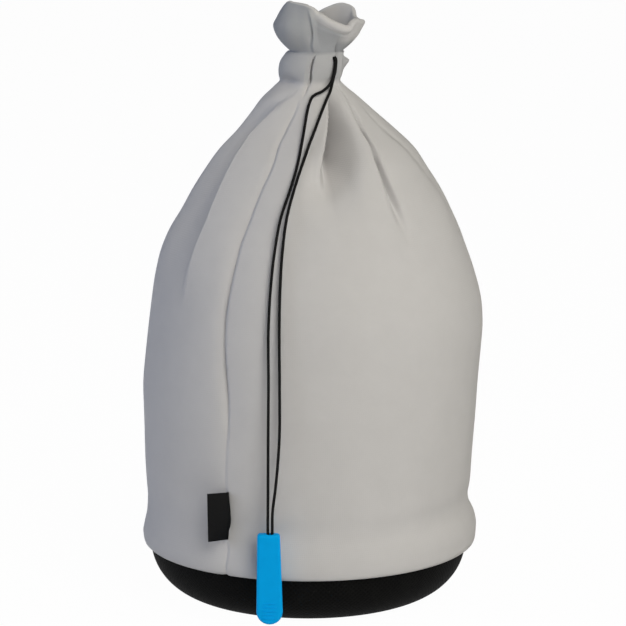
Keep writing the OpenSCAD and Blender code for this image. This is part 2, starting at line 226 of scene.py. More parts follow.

# %% [markdown]
# ## A tube along a path
# A cord is a circle swept along a path, which Geometry Nodes does with Curve to Mesh. The tree has named
# inputs for the cord's radius and for the spacing of its rings. It keeps the length along the path and
# the share of the way round as one attribute for the braid, realizes the result and sets the material.
# The outcome is then stored as a plain mesh, with real points. The ribs and
# the stitches have trees of their own further on, so two functions start and close a tree.


# %% Start and close of a geometry tree
def new_tree(name, given_label, sizes, made_label):
    """A tree with a geometry input and named sizes: the tree, its input node, the sizes' identifiers."""
    tree = bpy.data.node_groups.new(name, "GeometryNodeTree")
    tree.interface.new_socket(given_label, in_out="INPUT", socket_type="NodeSocketGeometry")
    identifiers = {}
    for size_label, size in sizes.items():
        kind = "NodeSocketInt" if isinstance(size, int) else "NodeSocketFloat"
        socket = tree.interface.new_socket(size_label, in_out="INPUT", socket_type=kind)
        socket.default_value = size
        identifiers[size_label] = socket.identifier
    tree.interface.new_socket(made_label, in_out="OUTPUT", socket_type="NodeSocketGeometry")
    return tree, add(tree, "NodeGroupInput"), identifiers


def close_tree(tree, made, material):
    """Realizes what the tree made, sets its material and hands it out."""
    real = add(tree, "GeometryNodeRealizeInstances", {0: made.outputs[0]})
    dressed = add(tree, "GeometryNodeSetMaterial", {"Geometry": real.outputs[0], "Material": material})
    add(tree, "NodeGroupOutput", {0: dressed.outputs[0]})
    print(tree.name, "has", len(tree.nodes), "nodes")


# %% Geometry tree for cords
CORD_D, RING_SPACING, RING_SIDES = 1.2, 0.7, 12
cord_tree, given, cord_sizes = new_tree(
    "cord_along_path", "Path", {"Radius": CORD_D / 2 * MM, "Ring spacing": RING_SPACING * MM}, "Cord"
)
rings = add(
    cord_tree,
    "GeometryNodeResampleCurve",
    {"Curve": given.outputs["Path"], "Length": given.outputs["Ring spacing"]},
    mode="LENGTH",
)
path_share = add(cord_tree, "GeometryNodeSplineParameter")
path_kept = add(cord_tree, "GeometryNodeCaptureAttribute", {"Geometry": rings.outputs[0]})
path_kept.capture_items.new("FLOAT", "Along")
cord_tree.links.new(path_share.outputs["Length"], path_kept.inputs["Along"])
ring = add(
    cord_tree,
    "GeometryNodeCurvePrimitiveCircle",
    {"Resolution": RING_SIDES, "Radius": given.outputs["Radius"]},
    mode="RADIUS",
)
ring_share = add(cord_tree, "GeometryNodeSplineParameter")
ring_kept = add(cord_tree, "GeometryNodeCaptureAttribute", {"Geometry": ring.outputs[0]})
ring_kept.capture_items.new("FLOAT", "Round")
cord_tree.links.new(ring_share.outputs["Factor"], ring_kept.inputs["Round"])
tube = add(
    cord_tree,
    "GeometryNodeCurveToMesh",
    {
        "Curve": path_kept.outputs["Geometry"],
        "Profile Curve": ring_kept.outputs["Geometry"],
        "Fill Caps": True,
    },
)
both = add(cord_tree, "ShaderNodeCombineXYZ", {0: path_kept.outputs["Along"], 1: ring_kept.outputs["Round"]})
named = add(
    cord_tree,
    "GeometryNodeStoreNamedAttribute",
    {"Geometry": tube.outputs[0], "Name": "braid", "Value": both.outputs[0]},
    data_type="FLOAT_VECTOR",
    domain="POINT",
)
close_tree(cord_tree, named, cord_finish)


# %% From a tree to a plain mesh
def frozen(source, tree, sizes, values, name):
    """Runs a geometry tree on an object and gives a new object with the result as a plain mesh."""
    modifier = source.modifiers.new("nodes", "NODES")
    modifier.node_group = tree
    for label, value in values.items():
        modifier[sizes[label]] = value
    scene.collection.objects.link(source)
    seen = bpy.context.evaluated_depsgraph_get()
    result = source.evaluated_get(seen)
    mesh = bpy.data.meshes.new_from_object(result, preserve_all_data_layers=True, depsgraph=seen)
    bpy.data.objects.remove(source)
    mesh.name = name
    made = bpy.data.objects.new(name, mesh)
    scene.collection.objects.link(made)
    mesh.shade_smooth()
    return made


def path_object(points, closed=False):
    """A curve object with one spline through the points, which are in metres."""
    data = bpy.data.curves.new("path", "CURVE")
    data.dimensions = "3D"
    spline = data.splines.new("POLY")
    spline.points.add(len(points) - 1)
    spline.points.foreach_set("co", np.column_stack([points, np.ones(len(points))]).ravel())
    spline.use_cyclic_u = closed
    return bpy.data.objects.new("path", data)


def cord_piece(name, points):
    """A cord along points in metres."""
    return frozen(path_object(points), cord_tree, cord_sizes, {"Radius": CORD_D / 2 * MM}, name)


print("cords are", CORD_D, "mm thick")

# %% [markdown]
# ## The two cord ends
# The cord comes out of the slit at the right of the neck as two strands. The left one makes a small S
# under the neck before it joins the other, and both lie down the shoulder and hang to the pull. Their
# routes are those of the CAD part, but the right one ends straight above the pull, which keeps it off the
# cloth when the pull is drawn up and the strands shorten towards the slit.

# %% Cord ends
LEFT_ROUTE = [
    (9.6, -8.4, 231.2), (10.6, -9.3, 231.2), (11.3, -10.3, 229.9), (11.2, -10.9, 227.5),
    (10.8, -11.6, 225), (10.1, -12.6, 222.5), (8.9, -14.6, 220.4), (7.3, -15.7, 218.9),
    (5.2, -17.2, 217.7), (3.2, -18.4, 217), (1.9, -19.4, 216.2), (0.6, -21.8, 213.8), (-0.3, -25.2, 210.7),
    (-1.4, -30.6, 204.9), (-2.6, -36.2, 198.6), (-3.8, -40.9, 193), (-5.1, -44.7, 188.1),
    (-7.5, -49.5, 180.9), (-10.9, -54.7, 171.4), (-13.4, -60.8, 158.8), (-15, -65.5, 145),
    (-16, -69.3, 127), (-16, -71.7, 105), (-16.2, -72.9, 82), (-16.3, -73.6, 62),
    (-16.4, -74.1, 46), (-16.4, -74.1, 34),
]
RIGHT_ROUTE = [
    (10.8, -7, 231.2), (11.4, -7.6, 231), (11.7, -8.6, 229.9), (11.6, -9.2, 228),
    (11.3, -9.9, 225.3), (10.5, -11.1, 222.6), (9.9, -12.7, 220.2), (9.2, -15.2, 217.8),
    (7.7, -19.7, 215), (5.2, -26.2, 209.6), (2.9, -31.9, 204.1), (0.5, -37, 198.6),
    (-1.5, -41.3, 193.3), (-3.5, -45, 188), (-5.9, -49.9, 180.9), (-8.5, -55.4, 171.5),
    (-10.3, -61.4, 158.8), (-11.2, -66.4, 145.2), (-11.6, -70.2, 127), (-11.5, -72.4, 105),
    (-11.7, -73.4, 82), (-13.3, -73.9, 62), (-14.5, -74.1, 52), (-14.6, -74.1, 45), (-14.6, -74.1, 34),
]
cords = {}
for side, route in (("left", LEFT_ROUTE), ("right", RIGHT_ROUTE)):
    line = smooth_route(route, 1) * MM
    cord = cord_piece("cord_" + side, line)
    length = float(np.linalg.norm(np.diff(line, axis=0), axis=1).sum())
    cords[side] = (cord, line, length)
    print(side, "cord end, mm:", round(length / MM, 1), "triangles:", 2 * len(cord.data.polygons))

# %% [markdown]
# ## The cord in its tunnel
# Inside the neck the cord runs round in a tunnel of cloth, from one side of the slit to the other. It
# hardly shows, and the same tree makes it along part of a circle.

# %% Cord loop
TUNNEL_R = 9.6
TUNNEL_Z = 230.15
NECK_LEAN = 0.8
SLIT_ANGLE = 50
SLIT_HALF = 10
around = np.radians(np.arange(SLIT_ANGLE + SLIT_HALF, SLIT_ANGLE + 360 - SLIT_HALF, 2))
loop_line = np.column_stack(
    [NECK_LEAN + TUNNEL_R * np.sin(around), -TUNNEL_R * np.cos(around), np.full(len(around), TUNNEL_Z)]
)
cord_loop = cord_piece("cord_in_tunnel", loop_line * MM)
print("cord in the tunnel:", len(cord_loop.data.vertices), "points")

# %% [markdown]
# ## The cloth: how a gathered pouch folds
# The body is one panel of soft laminated cloth, closed by one side seam and sewn to the base. Below, the
# padded base fills it, so it is round and bulges a little. Towards the neck the cord pulls the same
# amount of cloth into an ever smaller ring, and the cloth has to go somewhere: it makes folds, with
# round ridges and sharp valleys, that start softly in the shoulder and close up at the neck.
# A cloth simulation would fold at random places. Here the folds have to lie where the picture shows
# them, so the panel is lofted: rings of points at each height, moved in along each valley.

# %% Profile of the cloth
# Height, radius and sideways lean of the panel, from the top of the hem's roll to the cord
PROFILE = [
    (26.5, 71.8, 0.5), (30, 71.5, 0.9), (34, 70.6, 0.9), (38.5, 69.3, 0), (43, 68.9, -0.3), (48, 69.5, -0.1),
    (58, 70.3, 0), (74, 71.1, 0.5), (92, 71.7, 1), (105, 71.4, 2.2), (118, 70.9, 3.2), (128, 69.9, 3.5),
    (140, 67.6, 2.9), (149, 65, 2.4), (158, 61.6, 2.7), (166, 57.5, 3.3), (175, 52.8, 3.5), (184, 47, 3.5),
    (192, 41.4, 3.6), (200, 33.6, 3.1), (208, 25.9, 1.7), (214, 20.2, 0.6), (218, 15.6, 0.4),
    (220.7, 12.9, 0.6), (223, 13.4, 0.8), (226.5, 13.6, 1.0), (229.5, 13.2, 1.5), (231.6, 12.5, 2.3),
    (232.6, 12.2, 2.8), (233, 11.9, 3.2), (233.3, 11, 3.4),
]
# Radius and height of the turned hem, from its sewn edge behind the cover to the roll
HEM = [(68.3, 25.6), (68.5, 23.9), (69.3, 22.7), (70.3, 22.3), (71.1, 22.8), (71.6, 24.3), (71.8, 26.5)]
BELLY_Z, NECK_Z, CINCH_Z = 95, 220.7, 233.3
# From a height on, how far apart the rows of points are
ROW_STEPS = [(28, 1.5), (52, 4), (118, 1.7), (214, 0.7), (CINCH_Z, 0)]
heights = np.append(spaced(ROW_STEPS), CINCH_Z)
hem = smooth_route(HEM, 0.9)
hem_lean = PROFILE[0][2] * smooth((hem[:, 0] - HEM[0][0]) / (HEM[-1][0] - HEM[0][0]))
body = through(PROFILE, heights)
row_z = np.concatenate([hem[:, 1], heights])
row_r = np.concatenate([hem[:, 0], body[:, 0]])
row_lean = np.concatenate([hem_lean, body[:, 1]])
share = (row_z - BELLY_Z) / (NECK_Z - BELLY_Z)
print("rows from the hem to the cord:", len(row_z))

# %% [markdown]
# ## Where the side seam runs
# The columns of the loft are close together along the side seam, so that its groove is crisp. The seam
# runs straight up the left of the front and drifts to the middle as the shoulder closes, and the
# columns near it drift with it.

# %% Columns along the seam
SEAM, SEAM_DRIFT = -30, 34
# Height along the seam and its angle there
SEAM_PATH = [
    (20, -29.3), (45, -29.4), (62, -29.4), (78, -29.1), (86, -28.7), (93, -29), (101, -30), (113, -31.7),
    (125, -32.8), (132, -32.9), (139, -32.2), (150, -31.0), (164, -30.7), (172, -29.7), (181, -28.2),
    (190, -26.2), (199, -26.6), (206, -22), (211, -16.6), (215, -13.6), (221, -11), (234, -10),
]
# From an angle on, how far apart the columns of points are: close at the seam and at the folds
COLUMN_STEPS = [
    (SEAM - 6, 0.4), (SEAM - 1.2, 0.12), (SEAM + 1.2, 0.4), (SEAM + 6, 0.75), (-3, 0.4), (16, 0.75),
    (30, 0.35), (51, 0.75), (96, 2.1), (246, 0.9), (290, 0.45), (318, 0.75), (SEAM + 354, 0),
]
columns = spaced(COLUMN_STEPS)


def turn(angle):
    """An angle between -180 and 180 degrees."""
    return (angle + 180) % 360 - 180


seam_at = through(SEAM_PATH, row_z)[:, 0]
near_seam = smooth(1 - np.abs(turn(columns - SEAM)) / SEAM_DRIFT)
angles = columns[None, :] + (seam_at - SEAM)[:, None] * near_seam[None, :]
print("columns round the pouch:", len(columns))

# %% [markdown]
# ## The folds
# Half a metre of cloth ends in a ring as wide as a thumb, so the folds are as deep as a finger is thick.
# Each fold has a path of angles up the shoulder, a depth that grows along that path, a section, which is
# the depth at degrees to the left and right of the path, as a share, and a width that stretches the
# section. Heights are shares of the way from the belly to the neck. A pleat edge is a sharp ridge with a
# wall on its left, where one pleat laps over the next, and a tilt lets the panel beside it stand out. A
# valley drops behind a ridge and climbs again on its right. A crease is a narrow line beside a low ridge,
# a soft step is a rounded dip, and a hollow is a wide one. Six plain hollows go round the back.

# %% Sections of the folds
PLEAT_EDGE = [
    (-36, 0), (-31, 0.02), (-23, 0.4), (-15, 0.93), (-9, 1), (-5, 0.97), (-3, 0.86), (-1.6, 0.56),
    (-0.6, 0.18), (0.2, 0.03), (2, 0), (6, 0),
]
TILT = [(-14.5, 0), (-13, -0.15), (-11.6, -0.75), (-10.4, -1), (-8, -0.88), (0, -0.35), (8, 0), (12, 0)]
VALLEY = [
    (-12, 0), (-9, -0.02), (-6, -0.04), (-3.5, -0.05), (-2.2, -0.02), (-1.3, 0.25), (-0.6, 0.75), (0, 0.97),
    (0.6, 1), (2, 0.93), (5, 0.74), (8, 0.55), (11, 0.37), (14, 0.2), (16.5, 0.09), (19, 0.03), (23, 0),
]
CREASE = [
    (-12, 0), (-8, -0.03), (-5, -0.06), (-3, -0.03), (-1.8, 0.22), (-0.9, 0.67), (-0.3, 0.97), (0, 1),
    (0.4, 0.8), (0.8, 0.45), (1.2, 0.22), (1.8, 0.14), (4, 0.09), (9, 0.04), (16, 0),
]
SOFT_STEP = [(-8, 0), (-4, 0.05), (-1.5, 0.5), (0, 0.95), (1.5, 1), (4, 0.6), (8, 0.2), (13, 0)]
HOLLOW = [(-18, 0), (-14, 0.04), (-7, 0.5), (-2, 0.95), (0, 1), (3, 0.8), (9, 0.4), (15, 0.04), (19, 0)]
EVEN = [(0, 1), (1, 1)]
print("kinds of fold: 6")

# %% Folds left of the cords
# Path, growth, section and width of each fold, from the left to the right
FOLDS = [
    # The left pleat's edge
    (
        [
            (0.3, -52.5), (0.488, -51.2), (0.585, -51), (0.662, -50.5), (0.709, -51.2), (0.755, -51.6),
            (0.803, -51.4), (0.85, -51.6), (0.88, -49), (0.93, -38), (0.97, -19), (1, -14),
        ],
        [
            (0.26, 0), (0.34, 0.5), (0.41, 1.6), (0.48, 2.3), (0.55, 3.1), (0.63, 4.2), (0.75, 5.2),
            (0.83, 5), (0.9, 2.6), (0.95, 0.9), (0.98, 0.2), (1, 0),
        ],
        PLEAT_EDGE,
        EVEN,
    ),
    # The panel between that edge and the seam
    (
        [(0.3, -41.5), (0.6, -39.8), (0.75, -40.3), (0.85, -40.3), (0.9, -34), (0.95, -21), (1, -10)],
        [
            (0.3, 0), (0.4, 0.9), (0.5, 1.8), (0.6, 2.6), (0.75, 3), (0.84, 2.6), (0.9, 1.2), (0.95, 0.3),
            (1, 0),
        ],
        TILT,
        EVEN,
    ),
]
print("folds left of the cords:", len(FOLDS))

# %% Folds right of the cords
FOLDS += [
    # The big valley at the right of the cords
    (
        [
            (0.55, 5.2), (0.688, 4.9), (0.732, 4.6), (0.777, 6), (0.82, 8.8), (0.864, 13.1), (0.907, 18.6),
            (0.951, 26), (0.971, 32), (1, 40),
        ],
        [
            (0.66, 0), (0.69, 3.6), (0.715, 10), (0.74, 17), (0.765, 22.5), (0.79, 25), (0.82, 25.5),
            (0.863, 21.5), (0.907, 15), (0.95, 7), (0.98, 2), (1, 0),
        ],
        VALLEY,
        [(0.5, 1.1), (0.7, 1.15), (0.8, 1.22), (0.86, 1.1), (0.904, 0.95), (0.948, 0.85), (1, 0.8)],
    ),
    # The hollow that the valley runs out in
    (
        [(0.5, 8), (0.7, 7.2), (0.85, 9)],
        [
            (0.54, 0), (0.6, 1.1), (0.64, 3), (0.68, 5.6), (0.71, 6.4), (0.74, 5), (0.77, 2), (0.8, 0.3),
            (0.82, 0),
        ],
        HOLLOW,
        EVEN,
    ),
    # The crease on the right shoulder
    (
        [
            (0.5, 38.8), (0.6, 38.8), (0.677, 38.2), (0.722, 38), (0.769, 37.6), (0.812, 40), (0.858, 41),
            (0.902, 46), (0.945, 53), (0.966, 57), (1, 62),
        ],
        [
            (0.5, 0), (0.55, 1), (0.6, 3.4), (0.65, 4.8), (0.72, 5.4), (0.8, 5.6), (0.87, 5.8), (0.92, 6),
            (0.96, 4), (0.985, 1.2), (1, 0),
        ],
        CREASE,
        [(0.5, 2.2), (0.6, 2), (0.67, 1.5), (0.75, 1.2), (0.82, 1.15), (0.9, 1.15), (1, 1.2)],
    ),
    # The dip near the right outline
    (
        [
            (0.5, 82), (0.65, 79.5), (0.693, 77.5), (0.746, 74.5), (0.795, 72.5), (0.847, 67.5),
            (0.885, 68), (1, 88),
        ],
        [(0.52, 0), (0.57, 0.15), (0.64, 0.6), (0.72, 1.2), (0.82, 1.7), (0.9, 1.4), (0.97, 0.3), (1, 0)],
        SOFT_STEP,
        [(0, 1.6), (1, 1.6)],
    ),
]
print("folds in front:", len(FOLDS))

# %% Folds behind, and the depth of all folds
BACK_GROWTH = [(0.25, 0), (0.35, 0.3), (0.5, 2), (0.65, 5), (0.8, 7), (0.9, 5), (0.97, 1.2), (1, 0.4)]
for low_angle, high_angle in ((108, 122), (141, 150), (175, 179), (-156, -149), (-130, -120), (-106, -94)):
    FOLDS.append(([(0.2, low_angle), (0.6, low_angle + 1), (1, high_angle)], BACK_GROWTH, HOLLOW, EVEN))

folds = np.zeros_like(angles)
for path, growth, section, width in FOLDS:
    away = turn(angles - through(path, share)) / through(width, share)
    folds += through(growth, share) * through(section, away.ravel()).reshape(away.shape)
print("deepest fold, mm:", round(float(folds.max()), 1))

# %% [markdown]
# ## The seam, the neck and the slack of the cloth
# Along the seam the left edge of the panel rolls over and dives under the right one, because the stitches
# pull the padded cloth in: a long slope on the left, a steep one on the right. The groove is wider where
# the belly's slack hangs over it. At the neck the cloth over the cord puffs out between a few short
# creases, with a slit where the cord comes out and a small tab of cloth beside it. Soft dents and
# swellings shape the waist and the tuck under the neck. Elsewhere the panel is never quite round: slow
# noise gives it the shallow waves of slack cloth.

# %% Seam
from_seam = turn(angles - seam_at[:, None])
seam_mm = np.radians(from_seam) * row_r[:, None]
# Height and depth of the seam's line: deepest on the shoulder
SEAM_DEPTH = [
    (20, 1.0), (34, 1.0), (46, 0.7), (58, 0.5), (76, 0.6), (86, 0.8), (93, 1.4), (100, 1.9), (108, 2.1),
    (116, 2.1), (130, 2.2), (147, 2.2), (165, 1.9), (185, 1.9), (196, 2.2), (206, 2.0), (212, 0.9),
    (216, 0), (234, 0),
]
# Height and depth of the wider dent where the belly's slack hangs over the seam
SEAM_SLACK = [(66, 0), (76, 0.4), (86, 1), (96, 0.9), (104, 0.4), (112, 0)]
# Reach of the slopes in millimetres: on the left, then close to the line, further off and in the slack
LEFT_REACH, CLOSE_REACH, FAR_REACH, SLACK_REACH = 3.2, 0.95, 6, 9
# On the turned hem, below this height, the groove fades in from this radius on
HEM_TOP, FADE_R, FADE_W = 40, 69.3, 1.5
in_sight = np.where(row_z > HEM_TOP, 1, smooth((row_r - FADE_R) / FADE_W))
seam_depth = through(SEAM_DEPTH, row_z) * in_sight[:, None]
left_flank = np.exp(np.minimum(seam_mm, 0) / LEFT_REACH)
right_flank = 0.7 * np.exp(-((seam_mm / CLOSE_REACH) ** 2)) + 0.3 * np.exp(-((seam_mm / FAR_REACH) ** 2))
slack_flank = np.exp(-((seam_mm / SLACK_REACH) ** 2))
groove = seam_depth * np.where(seam_mm < 0, left_flank, right_flank)
groove += through(SEAM_SLACK, row_z) * np.where(seam_mm < 0, left_flank, slack_flank)
print("deepest place in the seam's groove, mm:", round(float(groove.max()), 1))

# %% Neck and waist
# Angle at mid height, slant in degrees per mm, depth, half width in degrees, lowest and highest place
NECK_CREASES = [
    (0.8, 0.1, 2.0, 3.5, 219, 233), (6.8, 1.3, 1.2, 4, 214, 225), (50, 0, 2.2, 7, 216, 236),
    (64, 0, -1.0, 9, 217, 235), (110, 0, 1.6, 12, 212, 236), (146, 0, 1.4, 12, 212, 236),
    (178, 0, 1.6, 13, 212, 236), (-150, 0, 1.4, 12, 212, 236), (-112, 0, 1.6, 13, 212, 236),
]
NECK_MID, CREASE_START, CREASE_END = 227, 5, 3
creases = np.zeros_like(angles)
for angle, slant, depth, half, low, high in NECK_CREASES:
    reach = smooth((row_z - low) / CREASE_START) * smooth((high - row_z) / CREASE_END)
    at = angle + slant * (row_z - NECK_MID)[:, None]
    near = np.clip(np.abs(turn(angles - at)) / half, 0, 1)
    creases += depth * reach[:, None] * (1 - near) ** 2
# Depth, angle, half width in degrees, height and half height of soft dents; a swelling has a depth below 0
DENTS = [(1.1, -43, 13, 54, 9), (1.8, -44, 22, 221.2, 2.1), (-0.9, 2, 32, 220.6, 2.2), (-0.8, 28, 30, 44, 8)]
dents = np.zeros_like(angles)
for depth, angle, half, height, half_height in DENTS:
    off = (turn(angles - angle) / half) ** 2 + ((row_z[:, None] - height) / half_height) ** 2
    dents += depth * np.exp(-off)
TAB, TAB_ANGLE, TAB_HALF, TAB_Z, TAB_ABOVE, TAB_BELOW = 2.6, 92, 9, 229.3, 1.1, 2.9
above_tab = row_z[:, None] - TAB_Z
tab_off = above_tab / np.where(above_tab > 0, TAB_ABOVE, TAB_BELOW)
tab = TAB * np.exp(-((turn(angles - TAB_ANGLE) / TAB_HALF) ** 2) - tab_off**2)
print("creases at the neck:", len(NECK_CREASES))

# %% Slack
# Depth of the slack, the ring and the height that its noise is read at, and a finer noise with its share
SLACK, NOISE_RING, NOISE_H, FINER, FINE_SHARE = 0.6, 2.1, 48, 2.3, 0.4
# It grows from a height above the hem and fades from a height below the neck, each over some millimetres
GROWS_AT, GROWS_OVER, FADES_AT, FADES_OVER = 27, 20, 190, 30
slack = np.zeros_like(angles)
for j, z in enumerate(row_z):
    for i, a in enumerate(np.radians(columns)):
        spot = Vector((NOISE_RING * math.sin(a), -NOISE_RING * math.cos(a), z / NOISE_H))
        slack[j, i] = noise.noise(spot) + FINE_SHARE * noise.noise(FINER * spot + Vector((7, 3, 5)))
grown = smooth((row_z - GROWS_AT) / GROWS_OVER) * (1 - smooth((row_z - FADES_AT) / FADES_OVER))
slack *= SLACK * grown[:, None]
radius = row_r[:, None] - folds - groove - dents - creases + tab + slack
print("slack moves the panel by up to", round(float(np.abs(slack).max()), 2), "mm")


# %% Points of the outside, from the hem to the cord
def polar(r, angle, z, x):
    """Points on rings: the angle starts at the front and grows to the right."""
    a = np.radians(angle)
    return np.stack([x + r * np.sin(a), -r * np.cos(a), z + 0 * r], -1)


outside = polar(radius, angles, row_z[:, None], row_lean[:, None])
# At the seam the hem's edge is notched
NOTCH, NOTCH_HALF, NOTCH_Z, NOTCH_FADE = 0.3, 1.2, 24, 4
notch_row = NOTCH * (1 - smooth((row_z - NOTCH_Z) / NOTCH_FADE))
outside[:, :, 2] += notch_row[:, None] * np.exp(-((seam_mm / NOTCH_HALF) ** 2))
print("points from the hem to the cord:", outside.shape[0] * outside.shape[1])

# %% [markdown]
# ## The frill
# Above the cord the doubled edge of the cloth springs open again into a few lobes. The list gives, at
# angles round the neck, the radius and height of the frill at its half height and at its rim: a tall
# lobe at the left, a low lip at the front right and a round lobe behind it that shows its inner face.
# Each column is a curve from the cord through the half height to the rim.

# %% Frill
FRILL = [
    (-180, 14.0, 241.5, 11.5, 245.4), (-140, 15.6, 242, 14.6, 248.5), (-105, 15.1, 242.5, 12.5, 249.5),
    (-90, 15.4, 243, 11.8, 251.1), (-75, 15.4, 243, 11.1, 252.8), (-58, 15.3, 243, 10.9, 254.0),
    (-44, 15.1, 243, 10.7, 253.6), (-30, 15.1, 242.8, 10.7, 253.2), (-8, 14.6, 242.4, 11.2, 252.4),
    (1, 13.2, 242, 11.6, 251.7), (9, 12.1, 241.5, 11.8, 250.3), (15, 11.9, 241, 12.3, 248.4),
    (20, 12.2, 240.6, 13.2, 247.5), (33, 13.4, 239.8, 15.2, 245.0), (45, 14.8, 239.2, 17.4, 242.9),
    (56, 16.2, 238.5, 18.9, 241.9), (62, 17.2, 238.4, 19.7, 242.6), (66, 17.8, 238.5, 20.3, 244.6),
    (70, 18.3, 238.7, 20.9, 245.6), (77, 19.0, 238.9, 22.1, 245.4), (84, 19.6, 239, 23, 244.9),
    (96, 18.8, 239.4, 21.3, 245.1), (105, 17.9, 240, 20.4, 246.1), (115, 17.6, 241.4, 20.8, 249),
    (128, 16.8, 242.2, 18.5, 251), (150, 14.6, 242, 13.7, 249.5), (165, 14.2, 241.7, 12.4, 247.7),
    (180, 14.0, 241.5, 11.5, 245.4),
]
wrapped = np.array(FRILL[:-1])
wrapped = np.concatenate([wrapped - [360, 0, 0, 0, 0], wrapped, wrapped + [360, 0, 0, 0, 0]])
top_angles = angles[-1]
shape = through(wrapped, turn(top_angles))
cord_ring = outside[-1]
half_way = polar(shape[:, 0], top_angles, shape[:, 1], NECK_LEAN)
rim = polar(shape[:, 2], top_angles, shape[:, 3], NECK_LEAN)
pulled = 2 * half_way - (cord_ring + rim) / 2
FRILL_RINGS, FRILL_EASE, STIFFNESS = 24, 1.15, 0.65
climbs = np.linspace(0, 1, FRILL_RINGS)[1:, None, None] ** FRILL_EASE
frill = (1 - climbs) ** 2 * cord_ring + 2 * climbs * (1 - climbs) * pulled + climbs**2 * rim
# Above the half height the doubled edge is stiff and leans in almost straight
straight = half_way + (rim - half_way) * (2 * climbs - 1)
frill = frill + STIFFNESS * smooth((climbs - 0.5) / 0.25) * (straight - frill)
print("rim of the frill, mm:", round(float(rim[:, 2].min()), 1), "to", round(float(rim[:, 2].max()), 1))

# %% Lap and lip of the frill
# One lobe laps over the next at the front: a pleat edge from the cord to the rim
LAP_DEPTH, LAP_WIDTH = 2.0, 1.6
LAP_PATH = [(0, -5), (0.15, -2), (0.5, 7), (0.8, 2), (1, -5)]
climb = climbs[:, 0, 0]
lap_at = through(LAP_PATH, climb)
lap_grown = np.sin(np.pi * climb**0.8) ** 0.7
lap = through(PLEAT_EDGE, turn(top_angles[None, :] - lap_at).ravel() / LAP_WIDTH).reshape(frill.shape[:2])
lap *= LAP_DEPTH * lap_grown[:, None]
# Under the rolled lip at the front right the cloth is pinched in
LIP_ANGLE, LIP_HALF, PINCH, PINCH_AT, PINCH_HALF = 34, 48, 0.5, 0.83, 0.07
lip = smooth(1.4 * (1 - np.abs(turn(top_angles - LIP_ANGLE)) / LIP_HALF))
lap += PINCH * np.exp(-(((climb - PINCH_AT) / PINCH_HALF) ** 2))[:, None] * lip
outwards = polar(np.ones(len(top_angles)), top_angles, 0 * top_angles, 0)
frill = frill - lap[:, :, None] * outwards
outside = np.concatenate([outside, frill])
print("lap and pinch, up to mm:", round(float(lap.max()), 1))

# %% [markdown]
# ## Thickness: over the rim and back down inside
# Cloth has two faces. The loft goes on over a rounded rim and back down the inside, a cloth's thickness
# from the outside, to the sewn edge behind the hem. In the neck the inside closes to a small star of
# pleats, because that is where the gathered cloth is packed. The mesh closes on itself like a ring.

# %% Inside of the cloth
CLOTH_T = 2.0
# The rim is thin at the back and padded where it rolls out at the front right
RIM_T, LIP_T = 2.2, 1.6


def outward(points):
    """Unit normals of a grid of rings."""
    along = np.roll(points, -1, axis=1) - np.roll(points, 1, axis=1)
    up = np.gradient(points, axis=0)
    normal = np.cross(along, up)
    return normal / np.linalg.norm(normal, axis=2, keepdims=True)


normals = outward(outside)
top_normal = normals[-1]
top_up = outside[-1] - outside[-2]
top_up /= np.linalg.norm(top_up, axis=1, keepdims=True)
rounding = np.radians(np.arange(20, 180, 20))[:, None, None]
rim_t = (RIM_T + LIP_T * lip)[:, None]
edge = outside[-1] - top_normal * rim_t / 2
over_rim = edge + rim_t / 2 * (np.cos(rounding) * top_normal + np.sin(rounding) * top_up)
cinch_row = len(row_z) - 1
frill_rows = np.arange(len(outside) - 1, cinch_row + 8, -2)
frill_inside = outside[frill_rows] - normals[frill_rows] * rim_t

# Height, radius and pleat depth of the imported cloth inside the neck
PACKED = [
    (176, 15, 0.4), (184, 10.5, 0.5), (196, 8.4, 0.6), (206, 7.3, 0.8), (212, 7, 1), (217, 6.6, 1.3),
    (222, 5.8, 1.5), (228, 4.9, 1.6), (233, 4.4, 1.6), (236, 5.6, 1.5), (238.6, 8.2, 1.2),
]
PLEATS, WIDE_PLEATS, PACKED_LEAN = 9, 5, 1.4
packed_z = np.array(
    [238.6, 237, 235.4, 234, 232.5, 230, 227, 223.5, 220, 217, 214, 210, 206, 201, 197, 191, 185, 178]
)
packed = through(PACKED, packed_z)
wave = np.cos(np.radians(PLEATS * columns)) + 0.5 * np.cos(np.radians(WIDE_PLEATS * columns + 40))
packed_r = packed[:, :1] + packed[:, 1:] * wave[None, :]
packed_angles = np.broadcast_to(top_angles, packed_r.shape)
neck_inside = polar(packed_r, packed_angles, packed_z[:, None], PACKED_LEAN)

# Every third row of the outside has one inside it, from the hem to the shoulder
INSIDE_LOW, INSIDE_HIGH = 26, 165
body_rows = np.array([j for j in range(cinch_row, 0, -3) if INSIDE_LOW < row_z[j] < INSIDE_HIGH])
body_inside = outside[body_rows] - normals[body_rows] * CLOTH_T
cloth_points = np.concatenate([outside, over_rim, frill_inside, neck_inside, body_inside])
print("rings in all:", len(cloth_points))


# %% Mesh of the cloth
def ring_faces(rings, sides, closed):
    """Quads between rings of points, and back to the first ring where closed."""
    last = rings if closed else rings - 1
    j, i = np.mgrid[0:last, 0:sides]
    a, b = j * sides + i, j * sides + (i + 1) % sides
    up = (j + 1) % rings - j
    return np.stack([a, b, b + up * sides, a + up * sides], -1).reshape(-1, 4)


def capped_faces(rings, sides):
    """Quads between rings of points, with one face over the first ring and one over the last."""
    last = (rings - 1) * sides
    caps = [list(range(sides))[::-1], list(range(last, last + sides))]
    return ring_faces(rings, sides, False).tolist() + caps


